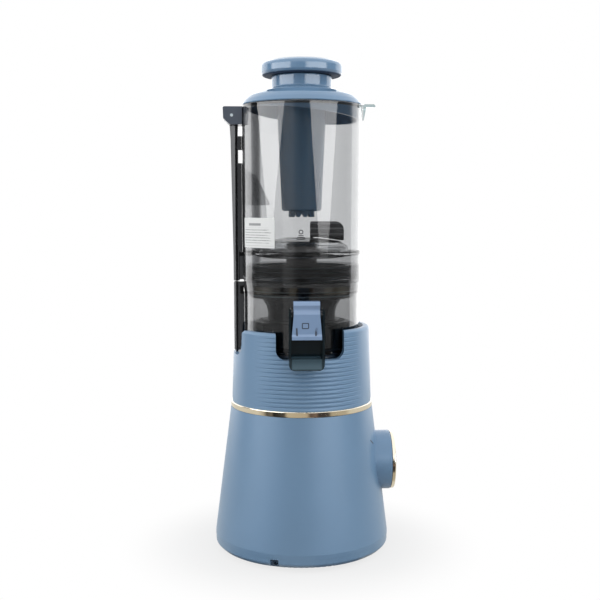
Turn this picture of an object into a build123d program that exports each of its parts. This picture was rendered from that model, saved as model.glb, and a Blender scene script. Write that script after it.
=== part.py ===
"""Upright slow juicer with a wide feed hopper, as separate pieces.

Millimetres, +Z up. The origin is on the floor, on the axis of the drive shaft.
+X is the control side with the dial, -X the rear with the safety rods,
-Y the side of the juice spout and +Y the side of the pulp chute.
"""
from build123d import *
import math
import os

# ------------------------------------------------------------------ clearances
seat_gap = 0.3          # between parts that lift off each other
slip_gap = 0.4          # between parts that slide into each other
running_gap = 0.06      # radial play of a shaft in its bearing
joint_gap = 0.1         # between pieces of one assembly that are screwed together
pilot_gap = 0.1         # round the shank of a screw in its pilot hole
hole_gap = 0.3          # round the shank of a screw in a through hole
beyond = 600.0          # length and level past every piece, for cutters

# ------------------------------------------------------------------ base sizes
foot_height = 3.0
foot_radius = 9.0
foot_recess = 1.2
foot_inset = 18.6
cover_thickness = 3.0
cover_rim_height = 9.0
cover_lip = 2.8
vent_count = 9
vent_start = -102.5
vent_step = 3.8
vent_width = 2.4
vent_height = 1.8
skirt_foot_radius = 82.6
skirt_height = 124.4
skirt_lip = 1.0
skirt_straight = 3.5
shell_wall = 3.0

band_height = 5.4
band_stand_out = 0.1
band_width = 4.4

collar_height = 71.2
collar_wall_low = 9.0
collar_wall_high = 6.5
collar_rim_round = 3.0
collar_step_down = 2.0
cup_play = 3.0
deck_height = 42.2
deck_thickness = 3.0
deck_ring_height = 2.6
spigot_inset = 3.6
spigot_wall = 3.2
housing_boss_height = 24.0
housing_pilot_height = 18.0
housing_screw_height = 14.0

rib_pitch = 3.85
rib_depth = 0.9
rib_fade_angle = 52.0
rib_first = 3.1
rib_last = 66.0

notch_corner = 9.0
notch_floor_rise = 0.5
front_notch_angle = -84.9
front_notch_width = 62.0
rod_notch_angle = 180.0
rod_notch_width = 60.0
pulp_notch_angle = 90.0
pulp_notch_width = 60.0

pod_radius = 28.1
pod_stand_out = 2.2
pod_height = 81.1
pod_wall = 2.5
dial_thickness = 3.4
dial_radius = 27.6
dial_hub_radius = 21.0
dial_dish = 1.6
grip_width = 9.0
grip_length = 38.0
spindle_radius = 3.0

screw_shank = 1.9
screw_head = 3.6
screw_head_height = 2.6
screw_play = 0.3
base_boss_radius = 5.0
base_screw_inset = 11.6
base_boss_height = 34.0
housing_boss_radius = 4.5
outlet_angle = -110.0
outlet_width = 8.0

# ------------------------------------------------------- switch and board sizes
switch_rise = 24.0
switch_width = 11.6
selector_size = 26.0
selector_depth = 16.0
selector_neck = 12.0
selector_tag = 5.0
board_width = 53.0
board_inset = 35.6
board_height = 62.0
board_thickness = 1.6
board_parts_depth = 12.0
guide_height = 49.0
floor_slot_length = 56.0
floor_slot_width = 3.2
floor_slot_pitch = 9.0

# ----------------------------------------------------------------- drive sizes
motor_radius = 36.0
motor_height = 76.0
gearbox_inset = 6.0
gearbox_height = 54.0
gearbox_flange_inset = 9.0
gearbox_flange_height = 4.0
gearbox_screw_inset = 4.5
gearbox_neck = 6.0
bell_height = 6.0
bearing_radius = 12.0
bearing_height = 8.0
shaft_radius = 7.0
shaft_hex = 12.0
shaft_rise = 50.0
shaft_depth = 28.0
hub_boss_radius = 15.0

# ------------------------------------------------------------------ bowl sizes
bowl_radius = 54.3
bowl_wall = 2.6
bowl_step_height = 57.7
bowl_step_rise = 7.0
bowl_ring_step = 0.9
bowl_ring_wall = 2.4
bowl_height = 67.7
bowl_foot_width = 4.1
bowl_foot_height = 3.2
bowl_floor = 3.0
bowl_hub_radius = 13.0
bowl_hub_height = 24.7
bowl_hub_bore = 9.2
juice_port_width = 17.0
pulp_port_width = 22.0
pulp_port_rise = 32.5

spout_width = 30.7
spout_side = 1.8
spout_channel_width = 24.0
spout_stand_out = 26.2
spout_plate_thickness = 2.5
spout_depth = 17.0
spout_drop = 3.0
spout_height = 53.5
spout_lip_height = 10.4
spout_lip_wall = 2.5
spout_corner = 5.0
port_radius = 6.6
port_rise = 35.5
port_roof_rise = 45.0

cap_width = 25.8
cap_top_width = 22.7
cap_rise = 26.8
cap_height = 32.7
cap_stand_out = 16.3
cap_flange = 1.5
cap_wall = 2.4
hinge_stand_out = 9.5
hinge_below_top = 9.5
hinge_pin_radius = 1.2
plug_radius = 8.6
plug_thickness = 2.7
plug_nose = 1.5

chute_width = 28.0
chute_wall = 2.2
chute_stand_out = 42.7
chute_bend = 12.7
chute_front = 28.7
chute_drop = 9.0
chute_mouth_height = 22.0
chute_height = 46.0

strainer_foot_gap = 8.8
strainer_foot_top = 29.7
strainer_waist_gap = 22.45
strainer_waist_rise = 37.7
strainer_flare_gap = 16.3
strainer_flare_rise = 51.7
strainer_ring_gap = 4.4
strainer_ring_top = 65.2
strainer_neck_gap = 9.3
strainer_top_gap = 7.3
strainer_height = 82.7
strainer_wall = 1.8
strainer_slots = 24
slot_width = 1.3

auger_gap = 0.9
auger_stand = 6.0
auger_core_low = 18.5
auger_core_high = 26.0
auger_height = 76.7
flight_thickness = 3.0
flight_pitch = 40.0
flight_starts = 2
head_inset = 8.5
head_rise = 89.7
head_rim_height = 4.5
head_hub_radius = 14.7
hub_above_floor = 0.1
wing_inset = 5.0
wing_height = 17.8
wing_gap = 0.8
wing_thickness = 4.0

# --------------------------------------------------------- hopper and lid sizes
hopper_low_step = 1.4
hopper_flare = 0.8
hopper_wall = 2.2
hopper_height = 162.9
hopper_spigot_wall = 2.0
hopper_spigot_depth = 7.5
floor_rise = 25.0
floor_thickness = 2.2
dome_inset = 9.3
dome_rise = 15.0
hopper_floor_hole = 16.5
feed_start = -14.0
feed_end = 105.0
feed_inset = 3.0
fin_reach = 24.7
fin_drop = 57.2
fin_step = 7.5
fin_depth = 35.0

ear_stand_out = 11.6
ear_thickness = 2.8
ear_above_rim = 0.7
ear_width = 26.0

lock_stand_out = 16.8
lock_below_rim = 1.6
lock_width = 24.0
lock_height = 16.3
lock_wall = 2.5
rod_radius = 1.2
rod_stand_out = 7.1
rail_mid_rise = 23.0
rail_top_drop = 31.0
window_height = 12.0
rail_width = 6.4
rail_low_back = 2.5
rail_mid_back = 2.8
rail_high_back = 5.0
rail_low_front = 3.5
rail_mid_front = 3.0
rail_high_front = 1.7
web_thickness = 2.0

lid_inset = 0.5
lid_neck_radius = 28.1
lid_neck_rise = 26.7
lid_bore = 23.0
lid_wall = 2.2
lid_crown = 15.6
lid_skirt_depth = 9.0
lid_skirt_inset = 3.5
lid_skirt_tilt = 6.0
lid_skirt_roll = -2.1
tongue_width = 9.0
tongue_depth = 7.0
tongue_play = 0.7

pusher_gap = 0.5
pusher_low_radius = 18.8
pusher_depth = 97.9
pusher_taper_top = 16.0
pusher_wall = 2.0
teeth_radius = 12.3
teeth_depth = 5.6
teeth_count = 12
pusher_cap_radius = 38.1
pusher_cap_height = 14.0

# ----------------------------------------------------- derived levels and places
cover_low = foot_height
skirt_low = cover_low + cover_rim_height
skirt_top = skirt_low + skirt_height
cup_radius = bowl_radius + cup_play
collar_low_radius = cup_radius + collar_wall_low
collar_high_radius = cup_radius + collar_wall_high
skirt_top_radius = collar_low_radius + skirt_lip
band_radius = skirt_top_radius + band_stand_out
spigot_radius = collar_low_radius - spigot_inset
spigot_inner = spigot_radius - spigot_wall
gearbox_flange_radius = spigot_inner - gearbox_flange_inset
gearbox_screw_circle = gearbox_flange_radius - gearbox_screw_inset
gearbox_radius = gearbox_screw_circle - gearbox_inset
collar_low = skirt_top + band_height
collar_top = collar_low + collar_height
deck_under = collar_low + deck_height
deck_top = deck_under + deck_thickness
notch_floor = deck_top + notch_floor_rise
cover_edge = skirt_foot_radius - 0.2
cover_lip_radius = skirt_foot_radius - shell_wall - seat_gap
base_screw_circle = skirt_foot_radius - base_screw_inset
base_boss_top = skirt_low + base_boss_height
foot_circle = skirt_foot_radius - foot_inset
board_y = skirt_foot_radius - board_inset
housing_screw_circle = spigot_inner - 3.0
flange_inner = gearbox_flange_radius + 0.5
rod_offset = bowl_radius + rod_stand_out
switch_back = rod_offset + 1.6
switch_front = gearbox_flange_radius + 0.6
switch_low = collar_low + switch_rise
pod_face = skirt_foot_radius + pod_stand_out
dial_back = pod_face + seat_gap
dial_face = pod_face + dial_thickness

gearbox_top = deck_under - joint_gap
gearbox_flange_top = gearbox_top - gearbox_neck
gearbox_flange_low = gearbox_flange_top - gearbox_flange_height
gearbox_low = gearbox_flange_low - gearbox_height
motor_low = gearbox_low - motor_height
shaft_low = gearbox_top - shaft_depth
shaft_top = deck_top + shaft_rise

bowl_low = deck_top + seat_gap
bowl_floor_low = bowl_low + bowl_foot_height
bowl_floor_top = bowl_floor_low + bowl_floor
bowl_hub_top = bowl_low + bowl_hub_height
bowl_step = bowl_low + bowl_step_height
bowl_top = bowl_low + bowl_height
bowl_inner = bowl_radius - bowl_wall
bowl_ring_radius = bowl_radius + bowl_ring_step
bowl_ring_inner = bowl_ring_radius - bowl_ring_wall
spout_plate = bowl_radius + spout_stand_out
spout_front = spout_plate + spout_depth
spout_low = deck_top - spout_drop
spout_high = spout_low + spout_height
port_height = spout_low + port_rise
port_roof = spout_low + port_roof_rise
port_face = spout_plate + spout_plate_thickness
plug_back = port_face + seat_gap
plug_front = plug_back + plug_thickness
cap_low = spout_low + cap_rise
cap_high = cap_low + cap_height
cap_front = spout_plate + cap_stand_out
hinge_reach = spout_plate + hinge_stand_out
hinge_height = cap_high - hinge_below_top
chute_reach = bowl_radius + chute_stand_out
strainer_foot_radius = bowl_radius - strainer_foot_gap
strainer_ring_radius = bowl_radius - strainer_ring_gap
strainer_neck_radius = bowl_radius - strainer_neck_gap
strainer_top_radius = bowl_radius - strainer_top_gap
strainer_waist_radius = bowl_radius - strainer_waist_gap
strainer_flare_radius = bowl_radius - strainer_flare_gap
strainer_waist = bowl_low + strainer_waist_rise
strainer_flare = bowl_low + strainer_flare_rise
strainer_top = bowl_low + strainer_height
auger_low = bowl_floor_top + auger_stand
auger_top = bowl_low + auger_height
head_low = bowl_low + head_rise
rod_split = bowl_top + seat_gap / 2
rail_low_outer = rod_offset + rail_low_back
rail_mid_outer = rod_offset + rail_mid_back
rail_high_outer = rod_offset + rail_high_back
rail_low_inner = rod_offset - rail_low_front
rail_mid_inner = rod_offset - rail_mid_front
rail_high_inner = rod_offset - rail_high_front

hopper_low = bowl_top + seat_gap
hopper_top = hopper_low + hopper_height
hopper_low_radius = bowl_radius + hopper_low_step
hopper_high_radius = hopper_low_radius + hopper_flare
hopper_inner_low = hopper_low_radius - hopper_wall
hopper_inner_high = hopper_high_radius - hopper_wall
hopper_spigot = bowl_ring_inner - slip_gap
hopper_spigot_low = hopper_low - hopper_spigot_depth
hopper_floor = hopper_low + floor_rise
dome_radius = bowl_radius - dome_inset
dome_top = hopper_floor + dome_rise
feed_radius = dome_radius - feed_inset
head_radius = dome_radius - head_inset
wing_reach = dome_radius - wing_inset
head_hub_top = dome_top + hub_above_floor
wing_low = dome_top - 2.2
wing_high = wing_low + wing_height
ear_reach = hopper_high_radius + ear_stand_out
lock_reach = hopper_high_radius + lock_stand_out
lock_high = hopper_top - lock_below_rim
lock_low = lock_high - lock_height
lid_low = hopper_top + seat_gap
lid_radius = hopper_high_radius - lid_inset
lid_skirt_radius = hopper_high_radius - lid_skirt_inset
neck_top = lid_low + lid_neck_rise
pusher_radius = lid_bore - pusher_gap
pusher_low = lid_low - pusher_depth
pusher_cap_low = neck_top + seat_gap


# -------------------------------------------------------------------- helpers
def outline(points, rounds=()):
    """Closed flat outline; rounds lists pairs of corner index and fillet radius."""
    face = make_face(Polyline(*points, close=True))
    for index, radius in rounds:
        corner = face.vertices().sort_by_distance(Vector(*points[index]))[0]
        face = fillet(corner, radius)
    return face


def turned(points, rounds=(), arc=360.0, start=0.0):
    """Outline of (radius, height) points turned about the drive axis."""
    face = Plane.XZ * outline(points, rounds)
    return Rot(0, 0, start) * revolve(face, Axis.Z, revolution_arc=arc)


def ring(outer, inner, low, high):
    """Plain ring about the drive axis."""
    return turned([(inner, low), (outer, low), (outer, high), (inner, high)])


def rod(radius, low, high, x=0.0, y=0.0):
    """Upright round bar."""
    return Pos(x, y, (low + high) / 2) * Cylinder(radius, high - low)


def bar_x(radius, start, end, height, y=0.0):
    """Round bar along X."""
    return Pos((start + end) / 2, y, height) * Rot(0, 90, 0) * Cylinder(radius, end - start)


def bar_y(radius, start, end, height, x=0.0):
    """Round bar along Y."""
    return Pos(x, (start + end) / 2, height) * Rot(90, 0, 0) * Cylinder(radius, end - start)


def block(x0, x1, y0, y1, z0, z1):
    """Box between two corners."""
    return Pos((x0 + x1) / 2, (y0 + y1) / 2, (z0 + z1) / 2) * Box(x1 - x0, y1 - y0, z1 - z0)


def plate_xz(points, thickness, rounds=()):
    """Outline in X and Z, given a thickness centred on Y = 0."""
    return extrude(Plane.XZ * outline(points, rounds), thickness / 2, both=True)


def plate_yz(points, thickness, rounds=()):
    """Outline in Y and Z, given a thickness centred on X = 0."""
    return extrude(Plane.YZ * outline(points, rounds), thickness / 2, both=True)


def around(piece, count, start=0.0, radius=0.0):
    """Copies of a piece at equal angles on a circle."""
    step = 360.0 / count
    return [Rot(0, 0, start + step * i) * Pos(radius, 0, 0) * piece for i in range(count)]


def fuse(pieces):
    """One shape from a list of shapes."""
    whole = pieces[0]
    for piece in pieces[1:]:
        whole = whole + piece
    return whole


def hexagon(across_flats, low, high):
    """Six-sided bar on the drive axis."""
    side = RegularPolygon(across_flats / 2, 6, major_radius=False)
    return Pos(0, 0, low) * extrude(side, high - low)


def screw(tip, head, shank=screw_shank):
    """Pan-head screw on the Z axis with its head at the lower end."""
    return rod(screw_head, head - screw_head_height, head) + rod(shank, head, tip)


# ------------------------------------------------------------------- base body
def base_housing():
    """Skirt shell with the round pod for the dial moulded on."""
    low, straight, top = skirt_low, skirt_low + skirt_straight, skirt_top
    foot, head, wall = skirt_foot_radius, skirt_top_radius, shell_wall
    outer = turned([(0, low), (foot, low), (foot, straight), (head, top), (0, top)], [(2, 6.0)])
    inner = turned([(0, low - 1), (foot - wall, low - 1), (foot - wall, straight),
                    (head - wall, top - wall), (0, top - wall)], [(2, 4.0)])
    pod = bar_x(pod_radius, 0, pod_face, pod_height)
    pod = chamfer(pod.edges().sort_by(Axis.X)[-1], 0.8)
    pod_hollow = bar_x(pod_radius - pod_wall, 0, pod_face - pod_wall, pod_height)
    boss = rod(base_boss_radius, low + 1, base_boss_top)
    boss = boss + block(0, beyond, -1.2, 1.2, low + cover_lip + 1, base_boss_top - 4)
    bosses = fuse(around(boss, 4, 0, base_screw_circle)) & outer
    shell = (outer + pod) - inner - pod_hollow + bosses
    pilot = rod(screw_shank + pilot_gap, low, base_boss_top - 4)
    shell = shell - fuse(around(pilot, 4, 0, base_screw_circle))
    shell = shell - rod(flange_inner, top - wall - 1, top + 1)
    holes = around(rod(screw_shank + hole_gap, top - wall - 1, top + 1), 4, 45, housing_screw_circle)
    return shell - fuse(holes) - bar_x(spindle_radius + slip_gap, pod_face - 6, pod_face + 1, pod_height)


def chrome_band():
    """Bright trim ring trapped between the skirt and the upper housing."""
    inner = band_radius - band_width
    return turned([(inner, skirt_top), (band_radius, skirt_top), (band_radius, collar_low),
                   (inner, collar_low)], [(1, 0.8), (2, 0.8)])


def notch(angle, width):
    """Cutter for a gap in the rim, open at the top, with round lower corners."""
    high = collar_top + 10
    half = width / 2
    gap = outline([(-half, notch_floor), (half, notch_floor), (half, high), (-half, high)],
                  [(0, notch_corner), (1, notch_corner)])
    return Rot(0, 0, angle + 90) * extrude(Plane.XZ * gap, collar_low_radius + 10)


def collar_radius(height):
    """Outer radius of the upper housing at a height."""
    share = (height - collar_low) / collar_height
    return collar_low_radius + (collar_high_radius - collar_low_radius) * share


def rib_grooves():
    """Sharp valleys between round ribs, which fade out to both sides of the spout panel."""
    offset = rib_depth / (1 - math.cos(math.radians(rib_fade_angle)))
    half, slant = 0.46 * rib_pitch, 0.3 * rib_depth
    grooves = []
    for i in range(int((rib_last - rib_first) / rib_pitch) + 1):
        level = collar_low + rib_first + rib_pitch * i
        tip = collar_radius(level) - rib_depth + offset
        crest = tip + rib_depth
        groove = turned([(tip, level), (crest - slant, level - half / 2), (crest, level - half),
                         (crest + 3, level - half), (crest + 3, level + half), (crest, level + half),
                         (crest - slant, level + half / 2)])
        grooves.append(Rot(0, 0, front_notch_angle + 90) * Pos(0, offset, 0) * groove)
    return grooves


def upper_housing():
    """Ribbed collar with the deck that carries the gearbox and the bowl."""
    top_inner = cup_radius + 1.2
    ring_outer = bowl_radius - bowl_foot_width - slip_gap
    profile = [
        (collar_low_radius, collar_low), (collar_high_radius, collar_top),
        (top_inner, collar_top), (cup_radius, collar_top - 3), (cup_radius, deck_top),
        (ring_outer, deck_top), (ring_outer, deck_top + deck_ring_height),
        (ring_outer - 4, deck_top + deck_ring_height), (ring_outer - 4, deck_top),
        (hub_boss_radius + 4, deck_top), (hub_boss_radius + 4, deck_top + 2.2),
        (hub_boss_radius + joint_gap, deck_top + 2.2), (hub_boss_radius + joint_gap, deck_under),
        (spigot_inner + 1, deck_under), (spigot_inner + 2.5, deck_under - 6),
        (spigot_inner + 2.5, collar_low + 11), (spigot_inner, collar_low + 8),
        (spigot_inner, skirt_top), (spigot_radius, skirt_top), (spigot_radius, collar_low)]
    body = turned(profile, [(1, collar_rim_round)])
    step, edge = collar_top - collar_step_down, collar_high_radius
    lowered = turned([(top_inner - 2, step), (edge - 2, step), (edge + 0.5, step - 2.5), (edge + 4, step - 6),
                      (edge + 4, step + 9), (top_inner - 2, step + 9)],
                     arc=front_notch_angle - rod_notch_angle + 360, start=rod_notch_angle)
    body = body - lowered
    for angle, width in ((front_notch_angle, front_notch_width), (rod_notch_angle, rod_notch_width),
                         (pulp_notch_angle, pulp_notch_width)):
        body = body - (notch(angle, width) - rod(cup_radius, deck_under, beyond))
    for groove in rib_grooves():
        body = body - groove
    boss = rod(4.5, gearbox_flange_top, deck_under + 1) - rod(1.8, gearbox_flange_top - 1, deck_under)
    body = body + fuse(around(boss, 4, 45, gearbox_screw_circle))
    post = rod(housing_boss_radius, skirt_top, collar_low + housing_boss_height)
    body = body + fuse(around(post, 4, 45, housing_screw_circle))
    pilot = rod(screw_shank + pilot_gap, skirt_top - 1, collar_low + housing_pilot_height)
    body = body - fuse(around(pilot, 4, 45, housing_screw_circle))
    half = switch_width / 2 + slip_gap
    body = body - block(-switch_back, -switch_front, -half, half, switch_low, deck_under)
    return body - rod(rod_radius + slip_gap, switch_low, notch_floor + 1, -rod_offset)


def microswitch():
    """Safety switch under the lower rod, with its plunger."""
    top, half = deck_under - joint_gap, switch_width / 2
    case = block(-switch_back + 0.2, -switch_front - 2, -half, half, switch_low + 3, top - 2.2)
    case = fillet(case.edges().filter_by(Axis.Y), 0.8)
    tags = [block(-switch_front - x - 1, -switch_front - x, -3, 3, switch_low - 4, switch_low + 3)
            for x in (2.5, 5.5, 8.5)]
    flange = block(-switch_front - 5, -switch_front - 2, -half, half, top - 2.2, top)
    return case + rod(1.4, top - 2.2, top, -rod_offset) + fuse(tags) + flange


def bottom_cover():
    """Floor plate with vents, screw wells, foot recesses and guides for the board."""
    edge, lip = cover_edge, cover_lip_radius
    lip_top = skirt_low + cover_lip
    profile = [(0, cover_low), (edge - 3.5, cover_low), (edge, cover_low + 3.5), (edge, skirt_low),
               (lip, skirt_low), (lip, lip_top), (lip - 2.4, lip_top),
               (lip - 2.4, cover_low + cover_thickness), (0, cover_low + cover_thickness)]
    body = turned(profile, [(1, 2.5), (2, 2.5)])
    well = rod(base_boss_radius, cover_low, skirt_low + 1 - joint_gap)
    body = body + fuse(around(well, 4, 0, base_screw_circle))
    head_hole = rod(screw_head + screw_play, cover_low - 1, cover_low + 4)
    shank_hole = rod(screw_shank + screw_play, cover_low, skirt_low + 2)
    body = body - fuse(around(head_hole + shank_hole, 4, 0, base_screw_circle))
    recess = rod(foot_radius + 0.2, cover_low - 1, cover_low + foot_recess)
    body = body - fuse(around(recess, 4, 45, foot_circle))
    for row in range(-2, 3):
        floor_slot = Pos(0, row * floor_slot_pitch, 0) * SlotOverall(floor_slot_length, floor_slot_width)
        body = body - extrude(floor_slot, 2 * cover_low + cover_thickness)
    end = board_width / 2
    guide = block(end - 1.5, end + 3.5, board_y - 2, board_y + 4, cover_low + 1, cover_low + guide_height)
    guide = guide - block(0, end + 0.5, board_y, board_y + board_thickness + 0.2, 0, beyond)
    body = body + guide + mirror(guide, Plane.YZ)
    half = vent_width / 2
    vent = block(edge - 4.5, edge + 2, -half, half, cover_low - 1, cover_low + vent_height)
    for i in range(vent_count):
        body = body - Rot(0, 0, vent_start + vent_step * i) * vent
    outlet = Rot(0, 0, outlet_angle) * block(lip - 6, edge + 2, -outlet_width / 2, outlet_width / 2,
                                             cover_low - 1, skirt_low - 1.5)
    return body - outlet


def feet():
    """Four rubber pads in one group."""
    pad = rod(foot_radius, 0, foot_height + foot_recess)
    pad = chamfer(pad.edges().sort_by(Axis.Z)[0], 0.8)
    return around(pad, 4, 45, foot_circle)


def base_screws():
    """Four screws that hold the bottom cover."""
    piece = screw(base_boss_top - 8, cover_low + 4)
    return around(piece, 4, 0, base_screw_circle)


def housing_screws():
    """Four screws that pull the upper housing onto the skirt."""
    piece = screw(collar_low + housing_screw_height, skirt_top - shell_wall)
    return around(piece, 4, 45, housing_screw_circle)


def cord_bushing():
    """Rubber bushing in the lead outlet, set back from the wall."""
    back = skirt_foot_radius - shell_wall - 6
    front = skirt_foot_radius - 4.6
    half = outlet_width / 2 - joint_gap
    top = skirt_low - 1.5 - joint_gap
    body = block(back + 0.2, front, -half, half, cover_low, top)
    body = body - bar_x(2.4, back - 1, front + 1, (cover_low + top) / 2)
    return Rot(0, 0, outlet_angle) * body


def motor():
    """Motor can with its end bell and cooling slots."""
    bell = motor_low + bell_height
    end = bearing_radius
    body = turned([(0, motor_low - 8), (end, motor_low - 8), (end, motor_low), (motor_radius - 6, motor_low),
                   (motor_radius, bell), (motor_radius, gearbox_low), (0, gearbox_low)], [(4, 3)])
    slot = block(motor_radius - 2.5, motor_radius + 2, -2.5, 2.5, bell + 8, gearbox_low - 8)
    return body - fuse(around(slot, 8, 22.5))


def gearbox():
    """Sealed reduction gearbox, hung from the deck by its flange."""
    low, boss = gearbox_low, hub_boss_radius
    body = turned([(0, low), (gearbox_radius, low), (gearbox_radius, gearbox_flange_low),
                   (gearbox_flange_radius, gearbox_flange_low), (gearbox_flange_radius, gearbox_flange_top),
                   (boss, gearbox_flange_top), (boss, gearbox_top), (0, gearbox_top)], [(1, 3)])
    body = body - rod(bearing_radius + joint_gap, gearbox_top - bearing_height, gearbox_top + 1)
    body = body - rod(shaft_radius + seat_gap, shaft_low - seat_gap, gearbox_top)
    hole = rod(screw_shank + hole_gap, gearbox_flange_low - 1, gearbox_flange_top + 1)
    return body - fuse(around(hole, 4, 45, gearbox_screw_circle))


def gearbox_screws():
    """Four screws up through the gearbox flange into the deck bosses."""
    piece = screw(deck_under - 1, gearbox_flange_low, 1.7)
    return around(piece, 4, 45, gearbox_screw_circle)


def shaft_bearing():
    """Plain bearing for the output shaft."""
    low = gearbox_top - bearing_height + joint_gap
    return ring(bearing_radius, shaft_radius + running_gap, low, gearbox_top)


def shaft_seal():
    """Lip seal in the deck hole round the shaft."""
    outer, lip = hub_boss_radius, shaft_radius + seat_gap
    low, top = deck_under + joint_gap, deck_top + 1.6
    return turned([(outer, low), (outer, top), (outer - 2.5, top), (lip + 1.6, low + 1.8), (lip, top + 0.6),
                   (lip, low)])


def rotary_switch():
    """Three-position switch behind the dial."""
    front, half = pod_face - pod_wall - joint_gap, selector_size / 2
    face = front - selector_neck
    back = face - selector_depth
    case = block(back, face, -half, half, pod_height - half, pod_height + half)
    case = fillet(case.edges().filter_by(Axis.X), 2)
    neck = bar_x(half / 2, face, front, pod_height)
    tags = [block(back - selector_tag, back, y - 1.5, y + 1.5, pod_height - 8, pod_height + 8)
            for y in (-0.6 * half, 0, 0.6 * half)]
    return case + neck + fuse(tags) - bar_x(spindle_radius + running_gap, face - 10, front + 1, pod_height)


def control_board():
    """Power board with its capacitor, relay and heat sink, standing in two guides."""
    low, back, half = cover_low + cover_thickness, board_y + joint_gap, board_width / 2
    face = back + board_thickness
    front, top = face + board_parts_depth, low + board_height
    plate = block(-half, half, back, face, low, top)
    can = bar_y(6, face - 1, front + 1, top - 10, -half / 2)
    relay = block(0, 0.6 * half, face, front - 2, low + 0.5 * board_height, low + 0.8 * board_height)
    fins = [block(-half + 4.5 + 5 * i, -half + 6.5 + 5 * i, face, front, low + 8, low + 26) for i in range(4)]
    sink = block(-half + 4.5, -half + 21.5, face, face + 2.4, low + 8, low + 26)
    return plate + can + relay + fuse(fins) + sink


# ------------------------------------------------------------------ drive body
def drive_shaft():
    """Output shaft, round in its bearing and six-sided above the deck."""
    step = deck_top + 4
    shaft = rod(shaft_radius, shaft_low, step) + hexagon(shaft_hex, step, shaft_top)
    return chamfer(shaft.edges().group_by(Axis.Z)[-1], 1.0)


# ------------------------------------------------------------------- dial body
def dial_ring():
    """Bright outer ring of the dial."""
    depth = dial_face - dial_back
    rim = Pos(0, 0, depth / 2) * Cylinder(dial_radius, depth)
    rim = fillet(rim.edges().sort_by(Axis.Z)[-1], 1.0)
    rim = rim - Cylinder(dial_hub_radius + 0.05, beyond)
    return Pos(dial_back, 0, pod_height) * Rot(0, 90, 0) * rim


def dial_cap():
    """Dished centre of the dial with its grip bar and pointer notch."""
    dish = Pos(0, 0, dial_dish / 2) * Cylinder(dial_hub_radius, dial_dish)
    depth = dial_face - dial_back
    grip = extrude(SlotOverall(grip_length, grip_width), depth)
    grip = fillet(grip.edges().group_by(Axis.Z)[-1], 0.8)
    pointer = Pos(-grip_length / 2 + 5, 0, depth) * Box(7, 1.4, 1.0)
    body = dish + grip - pointer
    return Pos(dial_back, 0, pod_height) * Rot(0, 90, 0) * body


def dial_spindle():
    """Spindle from the dial to the switch."""
    return bar_x(spindle_radius, pod_face - pod_wall - selector_neck - 9, dial_back, pod_height)


# ------------------------------------------------------------------- bowl body
def juicing_bowl():
    """Clear bowl with its hub, its foot ring and the two side openings."""
    foot, slant = bowl_radius - bowl_foot_width, bowl_step + bowl_step_rise
    profile = [
        (bowl_radius, bowl_low), (bowl_radius, bowl_step), (bowl_ring_radius, slant),
        (bowl_ring_radius, bowl_top), (bowl_ring_inner, bowl_top), (bowl_ring_inner, bowl_step + 1.5),
        (bowl_inner, bowl_step - 0.5), (bowl_inner, bowl_floor_top), (bowl_hub_radius, bowl_floor_top),
        (bowl_hub_radius, bowl_hub_top), (bowl_hub_bore, bowl_hub_top), (bowl_hub_bore, bowl_floor_low),
        (foot, bowl_floor_low), (foot, bowl_low)]
    bowl = turned(profile, [(7, 3), (8, 2)])
    port_low, half = bowl_floor_top + 0.6, juice_port_width / 2
    juice = block(-half, half, -bowl_radius - 4, -bowl_inner + 4, port_low, port_height + 5)
    half = pulp_port_width / 2
    pulp = block(-half, half, bowl_inner - 4, bowl_radius + 4, port_low, deck_top + pulp_port_rise)
    return bowl - juice - pulp


def bowl_seal():
    """Lip seal in the hub, round the drive shaft."""
    low = bowl_floor_low
    return turned([(bowl_hub_bore, low), (bowl_hub_bore, low + 7), (bowl_hub_bore - 0.9, low + 7),
                   (bowl_hub_bore - 0.9, low + 3), (shaft_radius + 0.5, low + 2), (shaft_radius + 0.5, low)])


def juice_spout():
    """Box channel with a port plate, two cheeks and a front lip, open underneath."""
    half = spout_width / 2
    face = outline([(-half, spout_low), (half, spout_low), (half, spout_high), (-half, spout_high)],
                   [(0, spout_corner), (1, spout_corner), (2, 2.5), (3, 2.5)])
    head = Pos(0, -spout_plate, 0) * extrude(Plane.XZ * face, spout_depth)
    lip_back, inner = spout_front - spout_lip_wall, half - spout_side
    head = head - block(-inner, inner, -lip_back, -port_face, spout_low - 1, spout_high + 1)
    lip_top = spout_low + spout_lip_height
    head = head - block(-inner, inner, -spout_front - 1, -lip_back + 0.1, lip_top, spout_high + 1)
    head = head - block(-inner, inner, -port_face - 0.1, 0, port_roof, spout_high + 1)
    channel_half, wall = spout_channel_width / 2, 2.2
    channel = block(-channel_half, channel_half, -spout_plate - 0.5, -bowl_radius + 3,
                    notch_floor + 1.5, port_roof)
    channel = channel - rod(bowl_radius + 0.05, 0, beyond)
    hollow = block(-channel_half + wall, channel_half - wall, -spout_plate, -bowl_radius + 4,
                   bowl_floor_top + 1, port_roof - 2.5)
    spout = head + channel - hollow - bar_y(port_radius, -port_face - 1, -spout_plate + 2, port_height)
    return spout - bar_x(hinge_pin_radius + 0.05, -half - 1, half + 1, hinge_height, -hinge_reach)


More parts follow.
